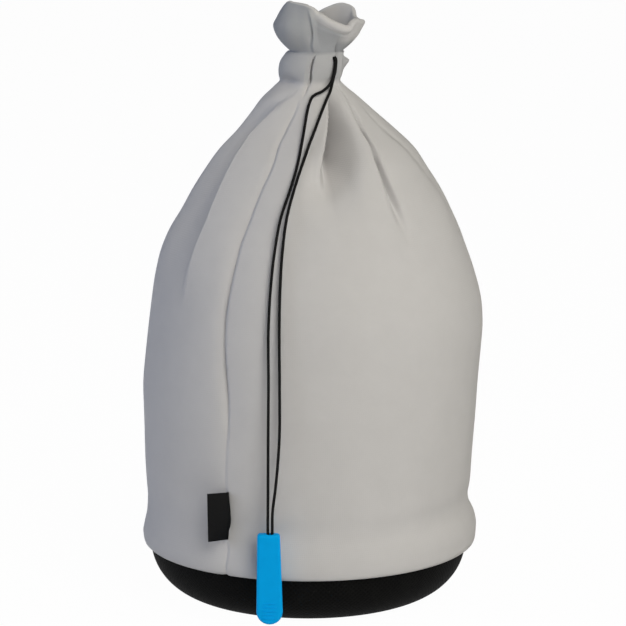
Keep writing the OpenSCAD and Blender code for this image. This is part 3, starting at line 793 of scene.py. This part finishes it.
def new_piece(name, points, faces, material):
    """A smooth mesh object from points in millimetres."""
    mesh = bpy.data.meshes.new(name)
    flat = np.asarray(points, float).reshape(-1, 3) * MM
    mesh.from_pydata(flat.tolist(), [], [list(map(int, f)) for f in faces])
    mesh.shade_smooth()
    mesh.materials.append(material)
    made = bpy.data.objects.new(name, mesh)
    scene.collection.objects.link(made)
    return made


def lay_uv(piece, name, across, up):
    """Stores a UV map in metres: one value across for each side, one value up for each ring of quads."""
    sides, rings = len(across) - 1, len(up) - 1
    u0, u1 = np.tile(across[:-1], rings), np.tile(across[1:], rings)
    v0, v1 = np.repeat(up[:-1], sides), np.repeat(up[1:], sides)
    corners = np.stack([u0, v0, u1, v0, u1, v1, u0, v1], -1) * MM
    layer = piece.data.uv_layers.new(name=name)
    layer.data.foreach_set("uv", corners.ravel())


print("two rings of 6 points make", len(ring_faces(2, 6, False)), "quads")

# %% [markdown]
# ## Soft laminated cloth
# The panel is a softshell laminate: a smooth, fine polyester knit on thin foam. To the eye it is matt
# and even, with a faint bloom at grazing angles and a grain that only shows from near. The grain is
# drawn at 0.9 mm, coarser than the real knit of about 0.4 mm, so that it shows at all. The neck,
# the outside of the frill and the inside of the body show the other face of the laminate, which is darker
# and cooler. On the neck band and the outside of the frill that darker face is partly painted shade, and
# the lighter face given to the front lip, the right tip and the inside of the frill is painted light, on
# the lip only in part.

# %% Cloth finish
KNIT_PITCH, MOTTLE = 0.9, 9
cloth_finish, tree = new_material("softshell_polyester_laminate")
layer = add(tree, "ShaderNodeUVMap", uv_map="cloth")
places = add(tree, "ShaderNodeTexCoord")
grain = crossed_threads(tree, layer.outputs[0], (KNIT_PITCH, KNIT_PITCH), 0.6, "MULTIPLY")
mottle = add(
    tree,
    "ShaderNodeTexNoise",
    {"Vector": places.outputs["Object"], "Scale": 1 / (MOTTLE * MM), "Detail": 4.0, "Roughness": 0.6},
)
face = add(
    tree,
    "ShaderNodeMix",
    {0: mottle.outputs["Fac"], 6: linear("#bfbdbd"), 7: linear("#c5c3c3")},
    data_type="RGBA",
)
# The darker, cooler face; on the neck band and the outside of the frill it is partly painted shade.
back_face_and_painted_light = add(
    tree,
    "ShaderNodeMix",
    {0: mottle.outputs["Fac"], 6: linear("#98999d"), 7: linear("#9ea0a3")},
    data_type="RGBA",
)
which = add(tree, "ShaderNodeAttribute", attribute_name="back_face_and_painted_light")
colour = add(
    tree,
    "ShaderNodeMix",
    {0: which.outputs["Fac"], 6: face.outputs[2], 7: back_face_and_painted_light.outputs[2]},
    data_type="RGBA",
)
cloth_gloss = {"Roughness": 0.85, "Sheen Weight": 0.05, "Sheen Roughness": 0.5, "Specular IOR Level": 0.1}
surface(tree, colour.outputs[2], grain, 0.25, 0.1, cloth_gloss)
print("knit drawn every", KNIT_PITCH, "mm")

# %% Cloth piece
# The cloth's UV map is measured up one plain column and round the belly
PLAIN_COLUMN, BELLY_R = 200, 71.6
cloth_rings, cloth_sides = cloth_points.shape[:2]
cloth = new_piece("cloth_body", cloth_points, ring_faces(cloth_rings, cloth_sides, True), cloth_finish)
ring_gaps = np.linalg.norm(np.diff(cloth_points[:, PLAIN_COLUMN], axis=0), axis=1)
up_cloth = np.concatenate([[0], np.cumsum(ring_gaps)])
round_cloth = np.radians(np.append(columns, columns[0] + 360)) * BELLY_R
lay_uv(cloth, "cloth", round_cloth, np.append(up_cloth, up_cloth[-1] + 2))
print("cloth triangles:", 2 * len(cloth.data.polygons))

# %% Which face of the laminate shows
# The darker face shows from the neck up, and on the neck band it is partly painted shade under the frill.
# The front lip, the right tip and the front of the rim get the lighter face as painted light, on the rolled
# lip only in part, and inside the frill hardly any of the darker one is used, which paints light into
# the shaded inner lobe.
# Where the right tip is painted lighter: painted light on that lobe.
TIP_ANGLE, TIP_HALF = 80, 26
back_share_with_painted_light = np.ones(cloth_points.shape[:2])
# On the neck band the darker face is partly painted shade from the frill that hangs over it.
back_share_with_painted_light[: cinch_row + 1] = 0.6 * smooth((row_z - 219) / 4)[:, None]
back_share_with_painted_light[cinch_row - 1 : cinch_row + 2] = np.array([[0.75], [0.9], [1]])
frill_part = back_share_with_painted_light[cinch_row + 1 : len(outside)]
# On the rolled lip the lighter face is partly the cloth turned out and partly a painted highlight; on the
# right tip it is painted light.
lip_band = smooth((climb - 0.8) / 0.1)[:, None] * lip
tip = smooth(1.5 - np.abs(turn(top_angles - TIP_ANGLE)) / TIP_HALF) * smooth((climb - 0.25) / 0.3)[:, None]
frill_part *= 1 - np.maximum(0.8 * lip_band, 0.9 * tip)
lip_rows = slice(len(outside), len(outside) + len(over_rim))
# The rim is lighter at the front lip, in part a painted highlight.
back_share_with_painted_light[lip_rows] = 0.3 * (1 - lip)
# Inside the frill the darker face is left almost out, which paints light into the shaded inner lobe.
back_share_with_painted_light[lip_rows.stop : lip_rows.stop + len(frill_inside)] = 0.1
attribute = cloth.data.attributes.new("back_face_and_painted_light", "FLOAT", "POINT")
attribute.data.foreach_set("value", back_share_with_painted_light.ravel().astype(np.float32))
print("share of the darker face:", round(float(back_share_with_painted_light.mean()), 2))

# %% [markdown]
# ## Turned pieces
# The base cover, the pad and the fleece are round, so each is a profile turned about the upright axis. A
# profile that starts and ends on the axis closes there in a fan of triangles.


# %% Lathe
def turned(name, profile, sides, material):
    """Turns a profile of radius and height about the axis; its first and last points are on the axis."""
    inner = np.array(profile[1:-1], float)
    a = np.radians(np.arange(sides) * 360 / sides)
    rings = np.stack(
        [
            np.outer(inner[:, 0], np.sin(a)),
            -np.outer(inner[:, 0], np.cos(a)),
            np.repeat(inner[:, 1:], sides, axis=1),
        ],
        -1,
    )
    poles = [(0, 0, profile[0][1]), (0, 0, profile[-1][1])]
    points = np.concatenate([rings.reshape(-1, 3), poles])
    first, last = len(points) - 2, len(points) - 1
    base = (len(inner) - 1) * sides
    faces = ring_faces(len(inner), sides, False).tolist()
    made = new_piece(
        name,
        points,
        faces
        + [[(k + 1) % sides, k, first] for k in range(sides)]
        + [[base + k, base + (k + 1) % sides, last] for k in range(sides)],
        material,
    )
    steps = np.linalg.norm(np.diff(inner, axis=0), axis=1)
    up = np.concatenate([[0], np.cumsum(steps)]) * MM
    layer = made.data.uv_layers.new(name="turned")
    reach = 2 * math.pi * inner[:, 0].max() * MM
    for polygon in made.data.polygons:
        for corner, loop in enumerate(polygon.loop_indices):
            point = made.data.loops[loop].vertex_index
            if point < first:
                k = point % sides
                wrap = sides if polygon.index < len(faces) and corner in (1, 2) and k == 0 else k
                layer.data[loop].uv = (wrap / sides * reach, up[point // sides])
    print(name, "triangles:", sum(len(p.vertices) - 2 for p in made.data.polygons))
    return made


# %% [markdown]
# ## Woven cover of the base
# The base is moulded foam with a black nylon weave bonded to it. The weave shows as fine diamonds with a
# dull sheen, so the pattern is two sets of diagonal threads, 1.5 mm apart, that lie over each other. Real
# threads are closer together, and these are drawn as coarse as they need to be to show.

# %% Base cover finish
THREAD_PITCH, DUST = 1.5, 5
weave_finish, tree = new_material("woven_nylon_bonded")
layer = add(tree, "ShaderNodeUVMap", uv_map="turned")
places = add(tree, "ShaderNodeTexCoord")
diagonal = (0, 0, math.radians(45))
tilted = add(tree, "ShaderNodeMapping", {"Vector": layer.outputs[0], "Rotation": diagonal})
crossing = crossed_threads(tree, tilted.outputs[0], (THREAD_PITCH, THREAD_PITCH), 0.8, "MAXIMUM")
dust = add(
    tree,
    "ShaderNodeTexNoise",
    {"Vector": places.outputs["Object"], "Scale": 1 / (DUST * MM), "Detail": 5.0},
)
thread_colour = add(
    tree,
    "ShaderNodeMix",
    {0: crossing, 6: linear("#070707"), 7: linear("#111111")},
    data_type="RGBA",
)
worn = add(tree, "ShaderNodeMapRange", {0: dust.outputs["Fac"], 1: 0.3, 2: 0.75, 3: 0.0, 4: 0.35})
colour = add(
    tree,
    "ShaderNodeMix",
    {0: worn.outputs[0], 6: thread_colour.outputs[2], 7: linear("#1a1a19")},
    data_type="RGBA",
)
surface(tree, colour.outputs[2], crossing, 0.5, 0.25, {"Roughness": 0.7, "Specular IOR Level": 0.03})
print("base threads every", THREAD_PITCH, "mm")

# %% Base cover
REST_R, BASE_R, BASE_H, COVER_T, TUCK_Z, WALL_Z = 45.5, 68, 22.5, 1.0, 26.3, 24.5
arc = np.radians(np.arange(0, 91, 3))


def base_arc(depth):
    """Curve of the base from the flat it stands on to the hem, moved in by a depth."""
    r = REST_R + (BASE_R - REST_R - depth) * np.sin(arc)
    return list(zip(r, depth + (BASE_H - depth) * (1 - np.cos(arc))))


inner_r = BASE_R - COVER_T
cover_profile = [(r, 0) for r in (0, 8, 16, 24, 32, 38)]
cover_profile += [*base_arc(0), (BASE_R, WALL_Z), (BASE_R, TUCK_Z), (inner_r, TUCK_Z), (inner_r, WALL_Z)]
cover_profile += [*base_arc(COVER_T)[::-1], (20, COVER_T), (0, COVER_T)]
base_cover = turned("base_cover_weave", cover_profile, 240, weave_finish)

# %% [markdown]
# ## Foam, fleece and tape inside
# The pad that the lens stands on is soft foam with a fleece face. They are crowned a little, as
# foam is when its edge is held down. The cup, the binding on its rim and the tape on the seam keep
# their CAD form, which is exact. Foam is a field of small pores, fleece a field of short fibres and
# tape a row of fine ribs, each drawn by a noise of the right size, which is squeezed for the tape.


# %% Finishes inside
def soft_finish(name, dark, light, size, strength, stretch=(1, 1, 1)):
    """A matt material with a noise of a real size in millimetres."""
    made, tree = new_material(name)
    places = add(tree, "ShaderNodeTexCoord")
    drawn = add(tree, "ShaderNodeMapping", {"Vector": places.outputs["Object"], "Scale": stretch})
    cells = add(
        tree,
        "ShaderNodeTexNoise",
        {"Vector": drawn.outputs[0], "Scale": 1 / (size * MM), "Detail": 6.0},
    )
    colour = add(
        tree,
        "ShaderNodeMix",
        {0: cells.outputs["Fac"], 6: linear(dark), 7: linear(light)},
        data_type="RGBA",
    )
    gloss = {"Roughness": 0.9, "Sheen Weight": 0.2}
    surface(tree, colour.outputs[2], cells.outputs["Fac"], strength, 0.3 * size, gloss)
    return made


def dress(node, finish):
    """Gives a CAD node a finish, and the node back."""
    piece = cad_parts[node]
    piece.data.materials.clear()
    piece.data.materials.append(finish)
    return piece


cup_finish = soft_finish("moulded_closed_cell_foam", "#232325", "#343437", 1.2, 0.4)
foam_finish = soft_finish("open_cell_foam", "#5e5e61", "#7c7c7f", 1.6, 0.7)
fleece_finish = soft_finish("brushed_polyester_fleece", "#7b7a77", "#9a9996", 1.1, 0.9)
tape_finish = soft_finish("grosgrain_tape", "#333335", "#4a4a4d", 0.9, 0.6, (1, 1, 4))
for node, finish in (("base_cup", cup_finish), ("rim_binding", tape_finish), ("side_seam_tape", tape_finish)):
    dress(node, finish)
print("finishes inside: 4")

# %% Pad and fleece
PAD_Z, PAD_TOP, FLEECE_Z, FLEECE_TOP = 5.4, 11.4, 11.6, 12.6
pad_profile = [(r, PAD_Z) for r in (0, 15, 30, 42)]
pad_profile += [(46, 5.7), (50, 6.7), (53, 8.2), (54.8, 9.8), (54.6, 10.8), (52.5, 11.3)]
pad_profile += [(r, PAD_TOP) for r in (45, 30, 15, 0)]
base_pad = turned("base_pad_foam", pad_profile, 120, foam_finish)
fleece_profile = [(r, FLEECE_Z) for r in (0, 15, 30, 45, 53)]
fleece_profile += [(54.4, 11.8), (54.8, 12.1), (54.4, 12.4)]
fleece_profile += [(r, FLEECE_TOP) for r in (53, 45, 30, 15, 0)]
pad_fleece = turned("pad_fleece_face", fleece_profile, 120, fleece_finish)

# %% [markdown]
# ## The pull
# The pull is a soft tab, moulded in blue vinyl over the two cord ends. Vinyl from a mould is even in
# colour, with a satin shine that is a little cloudy and a fine grain. The top of the pull is square with
# small radii, it widens to a full round end and all its edges are well rounded. Rings of one outline,
# drawn in towards the two faces, make that rounding without a modifier, and a slight shear lets the pull
# hang a little askew. The cord hole is cut with a Boolean.

# %% Vinyl finish
vinyl_finish, tree = new_material("moulded_soft_vinyl")
places = add(tree, "ShaderNodeTexCoord")
CLOUDS, SPARKS = 4, 0.5
clouds = {"Vector": places.outputs["Object"], "Scale": 1 / (CLOUDS * MM), "Detail": 3.0}
sparks = {"Vector": places.outputs["Object"], "Scale": 1 / (SPARKS * MM), "Detail": 2.0}
cloudy = add(tree, "ShaderNodeTexNoise", clouds)
spark = add(tree, "ShaderNodeTexNoise", sparks)
colour = add(
    tree,
    "ShaderNodeMix",
    {0: cloudy.outputs["Fac"], 6: linear("#009de6"), 7: linear("#00a8ef")},
    data_type="RGBA",
)
rough = add(tree, "ShaderNodeMapRange", {0: cloudy.outputs["Fac"], 3: 0.38, 4: 0.52})
vinyl_gloss = {"Roughness": rough.outputs[0], "Specular IOR Level": 0.05}
surface(tree, colour.outputs[2], spark.outputs["Fac"], 0.12, 0.1, vinyl_gloss)
print("vinyl clouds of", CLOUDS, "mm and sparks of", SPARKS, "mm")

# %% Pull
PULL_PLACE = np.array([-16.1, -74.1, 43.5])
PULL_L, PULL_W, PULL_END_W, PULL_T, PULL_CORNER = 38, 9.4, 10.8, 5.0, 1.4
EDGE_R, FACE_INSET, PULL_SKEW = 1.2, 0.5, 0.01
HOLE_R, HOLE_DEEP, HOLE_OFF = 1.7, 16, 0.6


def arc_points(centre, r, start, end, steps):
    """Points on an arc from one angle to another."""
    a = np.radians(np.linspace(start, end, steps + 1))
    return np.column_stack([centre[0] + r * np.cos(a), centre[1] + r * np.sin(a)])


def pull_outline(inset):
    """Outline of the pull, drawn in by an inset, with its top at 0."""
    half, end_r = PULL_W / 2 - inset, PULL_END_W / 2 - inset
    corner = max(0.4, PULL_CORNER - 0.6 * inset)
    right = (half - corner, -inset - corner)
    centre = (0, PULL_END_W / 2 - PULL_L)
    side = np.linspace((half, right[1]), (end_r, centre[1]), 9)[1:-1]
    return np.concatenate(
        [
            arc_points(right, corner, 90, 0, 6),
            side,
            arc_points(centre, end_r, 0, -180, 36),
            side[::-1] * [-1, 1],
            arc_points((-right[0], right[1]), corner, 180, 90, 6),
        ]
    )


quarter = np.radians(np.linspace(0, 90, 7))
depths = [(-PULL_T / 2, EDGE_R + FACE_INSET)]
depths += [(-PULL_T / 2 + EDGE_R * (1 - np.sin(q)), EDGE_R * (1 - np.cos(q))) for q in quarter[::-1]]
depths += [(PULL_T / 2 - EDGE_R * (1 - np.sin(q)), EDGE_R * (1 - np.cos(q))) for q in quarter]
depths += [(PULL_T / 2, EDGE_R + FACE_INSET)]
layers = []
for deep, inset in depths:
    outline = pull_outline(inset)
    outline[:, 0] -= PULL_SKEW * outline[:, 1]
    layers.append(np.column_stack([outline[:, 0], np.full(len(outline), deep), outline[:, 1]]) + PULL_PLACE)
pull = new_piece("pull_tab", np.array(layers), capped_faces(len(layers), len(layers[0])), vinyl_finish)
print("layers of the pull:", len(layers))

# %% Hole in the pull
DRILL_SIDES, DRILL_TOP = 24, 2
drill_a = np.radians(np.arange(DRILL_SIDES) * 360 / DRILL_SIDES)
drill_x, drill_y = HOLE_OFF + HOLE_R * np.cos(drill_a), HOLE_R * np.sin(drill_a)
drill = [
    np.column_stack([drill_x, drill_y, np.full(DRILL_SIDES, z)]) + PULL_PLACE
    for z in (-HOLE_DEEP, DRILL_TOP)
]
cutter = new_piece("drill", np.array(drill), capped_faces(2, DRILL_SIDES), vinyl_finish)
cut = pull.modifiers.new("hole", "BOOLEAN")
cut.object = cutter
cut.operation = "DIFFERENCE"
cut.solver = "EXACT"
seen = bpy.context.evaluated_depsgraph_get()
drilled = bpy.data.meshes.new_from_object(pull.evaluated_get(seen), depsgraph=seen)
pull.modifiers.clear()
pull.data = drilled
bpy.data.objects.remove(cutter)
drilled.shade_smooth()
drilled.set_sharp_from_angle(angle=math.radians(40))
print("pull points:", len(drilled.vertices))

# %% [markdown]
# ## Grip ribs on the pull
# Near its round end the pull has a few low ribs for the fingers, on both faces. One rib is a stretched
# ball, and a geometry tree repeats it: a line of points at the ribs' pitch, a rib on each point, and
# the whole row realized with the vinyl on it.

# %% Geometry tree for ribs
RIBS, RIB_STEP, RIB_L, RIB_H, RIB_FOOT = 5, 1.6, 6.0, 0.5, 2.6
rib_values = {"Ribs": RIBS, "Pitch": RIB_STEP * MM, "Length": RIB_L * MM, "Height": RIB_H * MM}
rib_tree, given, rib_sizes = new_tree("grip_rib_row", "Start", rib_values, "Ribs")
step = add(rib_tree, "ShaderNodeCombineXYZ", {2: given.outputs["Pitch"]})
row = add(
    rib_tree,
    "GeometryNodeMeshLine",
    {"Count": given.outputs["Ribs"], "Offset": step.outputs[0]},
    mode="OFFSET",
)
knob = add(rib_tree, "GeometryNodeMeshUVSphere", {"Segments": 16, "Rings": 10, "Radius": 0.5})
long_rib = add(
    rib_tree,
    "ShaderNodeCombineXYZ",
    {0: given.outputs["Length"], 1: given.outputs["Height"], 2: given.outputs["Height"]},
)
ribs_there = add(
    rib_tree,
    "GeometryNodeInstanceOnPoints",
    {"Points": row.outputs[0], "Instance": knob.outputs[0], "Scale": long_rib.outputs[0]},
)
both_faces = add(
    rib_tree,
    "GeometryNodeInstanceOnPoints",
    {"Points": given.outputs["Start"], "Instance": ribs_there.outputs[0]},
)
close_tree(rib_tree, both_faces, vinyl_finish)

# %% Grip ribs
rib_start = PULL_PLACE + [PULL_SKEW * PULL_L, 0, -PULL_L + RIB_FOOT]
starts = bpy.data.meshes.new("rib_starts")
starts.from_pydata([(rib_start + [0, y, 0]) * MM for y in (-PULL_T / 2, PULL_T / 2)], [], [])
rib_source = bpy.data.objects.new("rib_starts", starts)
ribs = frozen(rib_source, rib_tree, rib_sizes, {"Height": RIB_H * MM}, "pull_grip_ribs")
print("grip rib triangles:", 2 * len(ribs.data.polygons))

# %% [markdown]
# ## The label
# A small black label is folded double and sewn into the side seam. It is woven satin: fine weft ribs
# across and a soft shine. It comes out of the seam, bows to the right and then stands off the cloth to
# the left, up to its round folded edge, so it is a line in plan, thickened and drawn up. Its threads are
# drawn coarser than the real ones, so that they show.

# %% Label finish
WARP_PITCH, WEFT_PITCH = 0.8, 0.5
satin_finish, tree = new_material("woven_label_satin")
layer = add(tree, "ShaderNodeUVMap", uv_map="label")
woven = crossed_threads(tree, layer.outputs[0], (WARP_PITCH, WEFT_PITCH), 0.4, "MULTIPLY")
colour = add(
    tree,
    "ShaderNodeMix",
    {0: woven, 6: linear("#040405"), 7: linear("#0d0d0e")},
    data_type="RGBA",
)
surface(tree, colour.outputs[2], woven, 0.5, 0.12, {"Roughness": 0.5, "Specular IOR Level": 0.12})
print("weft ribs every", WEFT_PITCH, "mm")

# %% Label
LABEL_W, LABEL_H, LABEL_T, LABEL_Z, LABEL_R = 7.5, 20.2, 0.8, 37.6, 70.97
LABEL_ANGLE, LABEL_OPEN, LABEL_ROOT, LABEL_TILT = -28.5, 45, 1.6, 0.35
LABEL_BOW = [(0, -1.4), (0.2, 0.1), (0.36, 1.0), (0.55, 0.9), (1, 0)]
place_a, open_a = math.radians(LABEL_ANGLE), math.radians(LABEL_OPEN)
tangent = np.array([math.cos(place_a), math.sin(place_a), 0])
away = np.array([math.sin(place_a), -math.cos(place_a), 0])
folded_edge = LABEL_W * np.array([-math.cos(open_a), math.sin(open_a)])
leaf_steps = np.concatenate([np.linspace(-1, 0, 4), np.linspace(0, 1, 9)[1:]])
fold_turn = np.radians(np.linspace(60, -60, 5))[:, None]
label_rings = []
for up in np.linspace(0, 1, 17):
    bow = float(through(LABEL_BOW, [up])[0, 0])
    end = folded_edge + [LABEL_TILT * (1 - up), 0]
    leaf = [(-1, 0.1, -LABEL_ROOT), (0, bow, 0), (0.4, 0.4 * end[0] + 0.6 * bow, 0.4 * end[1]), (1, *end)]
    line = through(leaf, leaf_steps)
    ahead = np.gradient(line, axis=0)
    ahead /= np.linalg.norm(ahead, axis=1, keepdims=True)
    left = np.column_stack([-ahead[:, 1], ahead[:, 0]]) * LABEL_T / 2
    folded = line[-1] + np.cos(fold_turn) * ahead[-1] * LABEL_T / 2 + np.sin(fold_turn) * left[-1]
    ring = np.concatenate([line + left, folded, (line - left)[::-1]])
    point = np.outer(ring[:, 0], tangent) + np.outer(LABEL_R + ring[:, 1], away)
    point[:, 2] = LABEL_Z + LABEL_H * up
    label_rings.append(point)
label_faces = capped_faces(len(label_rings), len(label_rings[0]))
label = new_piece("side_label_satin", np.array(label_rings), label_faces, satin_finish)
label.data.set_sharp_from_angle(angle=math.radians(50))
layer = label.data.uv_layers.new(name="label")
for loop in label.data.loops:
    p = np.array(label.data.vertices[loop.vertex_index].co)
    layer.data[loop.index].uv = (float(p @ (tangent - away)), float(p[2]))
print("label triangles:", sum(len(p.vertices) - 2 for p in label.data.polygons))

# %% [markdown]
# ## Stitches
# A row of stitches goes round the binding inside the rim of the base. The thread is twisted black
# polyester, which is dull and a little mottled. A stitch is a short thread with round ends, so a geometry
# tree sets a stretched ball on points along a path, turned the way the path goes.

# %% Thread finish
THREAD_D = 0.4
thread_finish = soft_finish("polyester_thread", "#161617", "#2b2b2d", THREAD_D, 0.5)
print("thread is", THREAD_D, "mm thick")

# %% Geometry tree for stitches
STITCH_PITCH, STITCH_L = 3.5, 2.6
stitch_values = {"Pitch": STITCH_PITCH * MM, "Length": STITCH_L * MM, "Thread": THREAD_D * MM}
stitch_tree, given, stitch_sizes = new_tree("stitch_row", "Path", stitch_values, "Stitches")
spots = add(
    stitch_tree,
    "GeometryNodeCurveToPoints",
    {"Curve": given.outputs["Path"], "Length": given.outputs["Pitch"]},
    mode="LENGTH",
)
bead = add(stitch_tree, "GeometryNodeMeshUVSphere", {"Segments": 8, "Rings": 6, "Radius": 0.5})
slim = add(
    stitch_tree,
    "ShaderNodeCombineXYZ",
    {0: given.outputs["Thread"], 1: given.outputs["Thread"], 2: given.outputs["Length"]},
)
sewn = add(
    stitch_tree,
    "GeometryNodeInstanceOnPoints",
    {
        "Points": spots.outputs["Points"],
        "Instance": bead.outputs[0],
        "Rotation": spots.outputs["Rotation"],
        "Scale": slim.outputs[0],
    },
)
close_tree(stitch_tree, sewn, thread_finish)

# %% Stitch row
BINDING_R, BINDING_Z = 60.8, 35.5
bind_a = np.radians(np.arange(0, 360, 3))
bind_x, bind_y = BINDING_R * np.sin(bind_a), -BINDING_R * np.cos(bind_a)
bind_path = path_object(np.column_stack([bind_x, bind_y, np.full(len(bind_a), BINDING_Z)]) * MM, True)
bind_stitches = frozen(bind_path, stitch_tree, stitch_sizes, stitch_values, "binding_stitches")
print("stitch points:", len(bind_stitches.data.vertices))

# %% [markdown]
# ## Riding on the bodies
# Each piece rides on the CAD body that it belongs to, so that it moves with it.

# %% Bodies
RIDES = [
    (cloth, "pouch", "grey_cloth", ("body_shell", "neck_band", "mouth_frill")),
    (base_cover, "pouch", "black_textile", ("base_cover",)),
    (base_pad, "pouch", "pad_foam", ("base_pad",)),
    (pad_fleece, "pouch", "fleece", ("pad_fleece",)),
    (cord_loop, "pouch", "black_cord", ("cord_loop",)),
    (bind_stitches, "pouch", "binding_tape", ()),
    (label, "label", "label_satin", ("side_label",)),
    (cords["left"][0], "drawstring", "black_cord", ("cord_tail_left",)),
    (cords["right"][0], "drawstring", "black_cord", ("cord_tail_right",)),
    (pull, "pull", "blue_vinyl", ("pull",)),
    (ribs, "pull", "blue_vinyl", ()),
]
for piece, body_name, slot, stands_for in RIDES:
    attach(piece, body_name)
    if stands_for:
        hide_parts(*stands_for)
knot = dress("cord_knot", thread_finish)
print("pieces that ride:", len(RIDES))

# %% Cords with meshes of their own
for cord, line, length in cords.values():
    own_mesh(cord)

# %% [markdown]
# ## Floor and light
# A white floor runs out of the picture on all sides. To the camera it is nearly white, and it keeps a
# little of the shadow where the pouch stands. Two softboxes at the front right, one low and one high, give
# the main light. A weaker one high up at the right lights the top, and a cooler one far to the left gives
# the left flank its blue tone. The world adds hardly any light.

# %% Floor
floor_finish, tree = new_material("white_paper_floor")
FLOOR_GLOW = 0.98
rays = add(tree, "ShaderNodeLightPath").outputs
seen = add(tree, "ShaderNodeMath", {0: rays["Is Camera Ray"], 1: rays["Is Glossy Ray"]}, operation="MAXIMUM")
seen_too = add(
    tree,
    "ShaderNodeMath",
    {0: seen.outputs[0], 1: rays["Is Transmission Ray"]},
    operation="MAXIMUM",
)
glow_part = add(tree, "ShaderNodeMath", {0: seen_too.outputs[0], 1: FLOOR_GLOW}, operation="MULTIPLY")
paper = add(tree, "ShaderNodeBsdfDiffuse", {"Color": linear("#f4f4f4")})
glow = add(tree, "ShaderNodeEmission", {"Color": linear("#ffffff"), "Strength": 1.0})
mixed = add(tree, "ShaderNodeMixShader", {0: glow_part.outputs[0], 1: paper.outputs[0], 2: glow.outputs[0]})
add(tree, "ShaderNodeOutputMaterial", {"Surface": mixed.outputs[0]})
FLOOR_HALF = 4000
corners = [(FLOOR_HALF * x, FLOOR_HALF * y, 0) for x, y in ((-1, -1), (1, -1), (1, 1), (-1, 1))]
floor = new_piece("floor", corners, [[0, 1, 2, 3]], floor_finish)
floor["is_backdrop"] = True
print("floor, m:", 2 * FLOOR_HALF * MM)

# %% World
WORLD_LIGHT = 0.02
world = bpy.data.worlds.new("studio")
scene.world = world
world.use_nodes = True
tree = world.node_tree
tree.nodes.clear()
rays = add(tree, "ShaderNodeLightPath").outputs
seen = add(
    tree,
    "ShaderNodeMath",
    {0: rays["Is Camera Ray"], 1: rays["Is Transmission Ray"]},
    operation="MAXIMUM",
)
strength = add(tree, "ShaderNodeMapRange", {0: seen.outputs[0], 3: WORLD_LIGHT, 4: 1.0})
sky = add(tree, "ShaderNodeBackground", {"Color": linear("#ffffff"), "Strength": strength.outputs[0]})
add(tree, "ShaderNodeOutputWorld", {"Surface": sky.outputs[0]})
print("world light:", WORLD_LIGHT)


# %% Lamps
def softbox(name, place, aim, size, power, colour):
    """A square lamp that looks at a point."""
    data = bpy.data.lights.new(name, "AREA")
    data.size = size
    data.energy = power
    data.color = linear(colour)[:3]
    lamp = bpy.data.objects.new(name, data)
    lamp.location = place
    lamp.rotation_euler = (Vector(aim) - Vector(place)).to_track_quat("-Z", "Y").to_euler()
    scene.collection.objects.link(lamp)


softbox("key", (0.78, -1.35, 0.6), (0, 0, 0.12), 0.9, 9.2, "#fffdf6")
softbox("high", (0.5, -1.05, 1.3), (0, 0, 0.12), 0.9, 11.9, "#fffdf6")
softbox("right", (0.8, 0.05, 1.75), (0, 0, 0.15), 0.9, 4, "#fffae6")
softbox("left", (-1.6, -0.05, 0.5), (0, 0, 0.12), 0.9, 9.8, "#dfe9ff")
scene.view_settings.view_transform = "Standard"
print("lamps: key, high, right and left")

# %% Finish
low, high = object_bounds()
print("visual box, mm:", [round(1000 * (b - a), 1) for a, b in zip(low, high)])
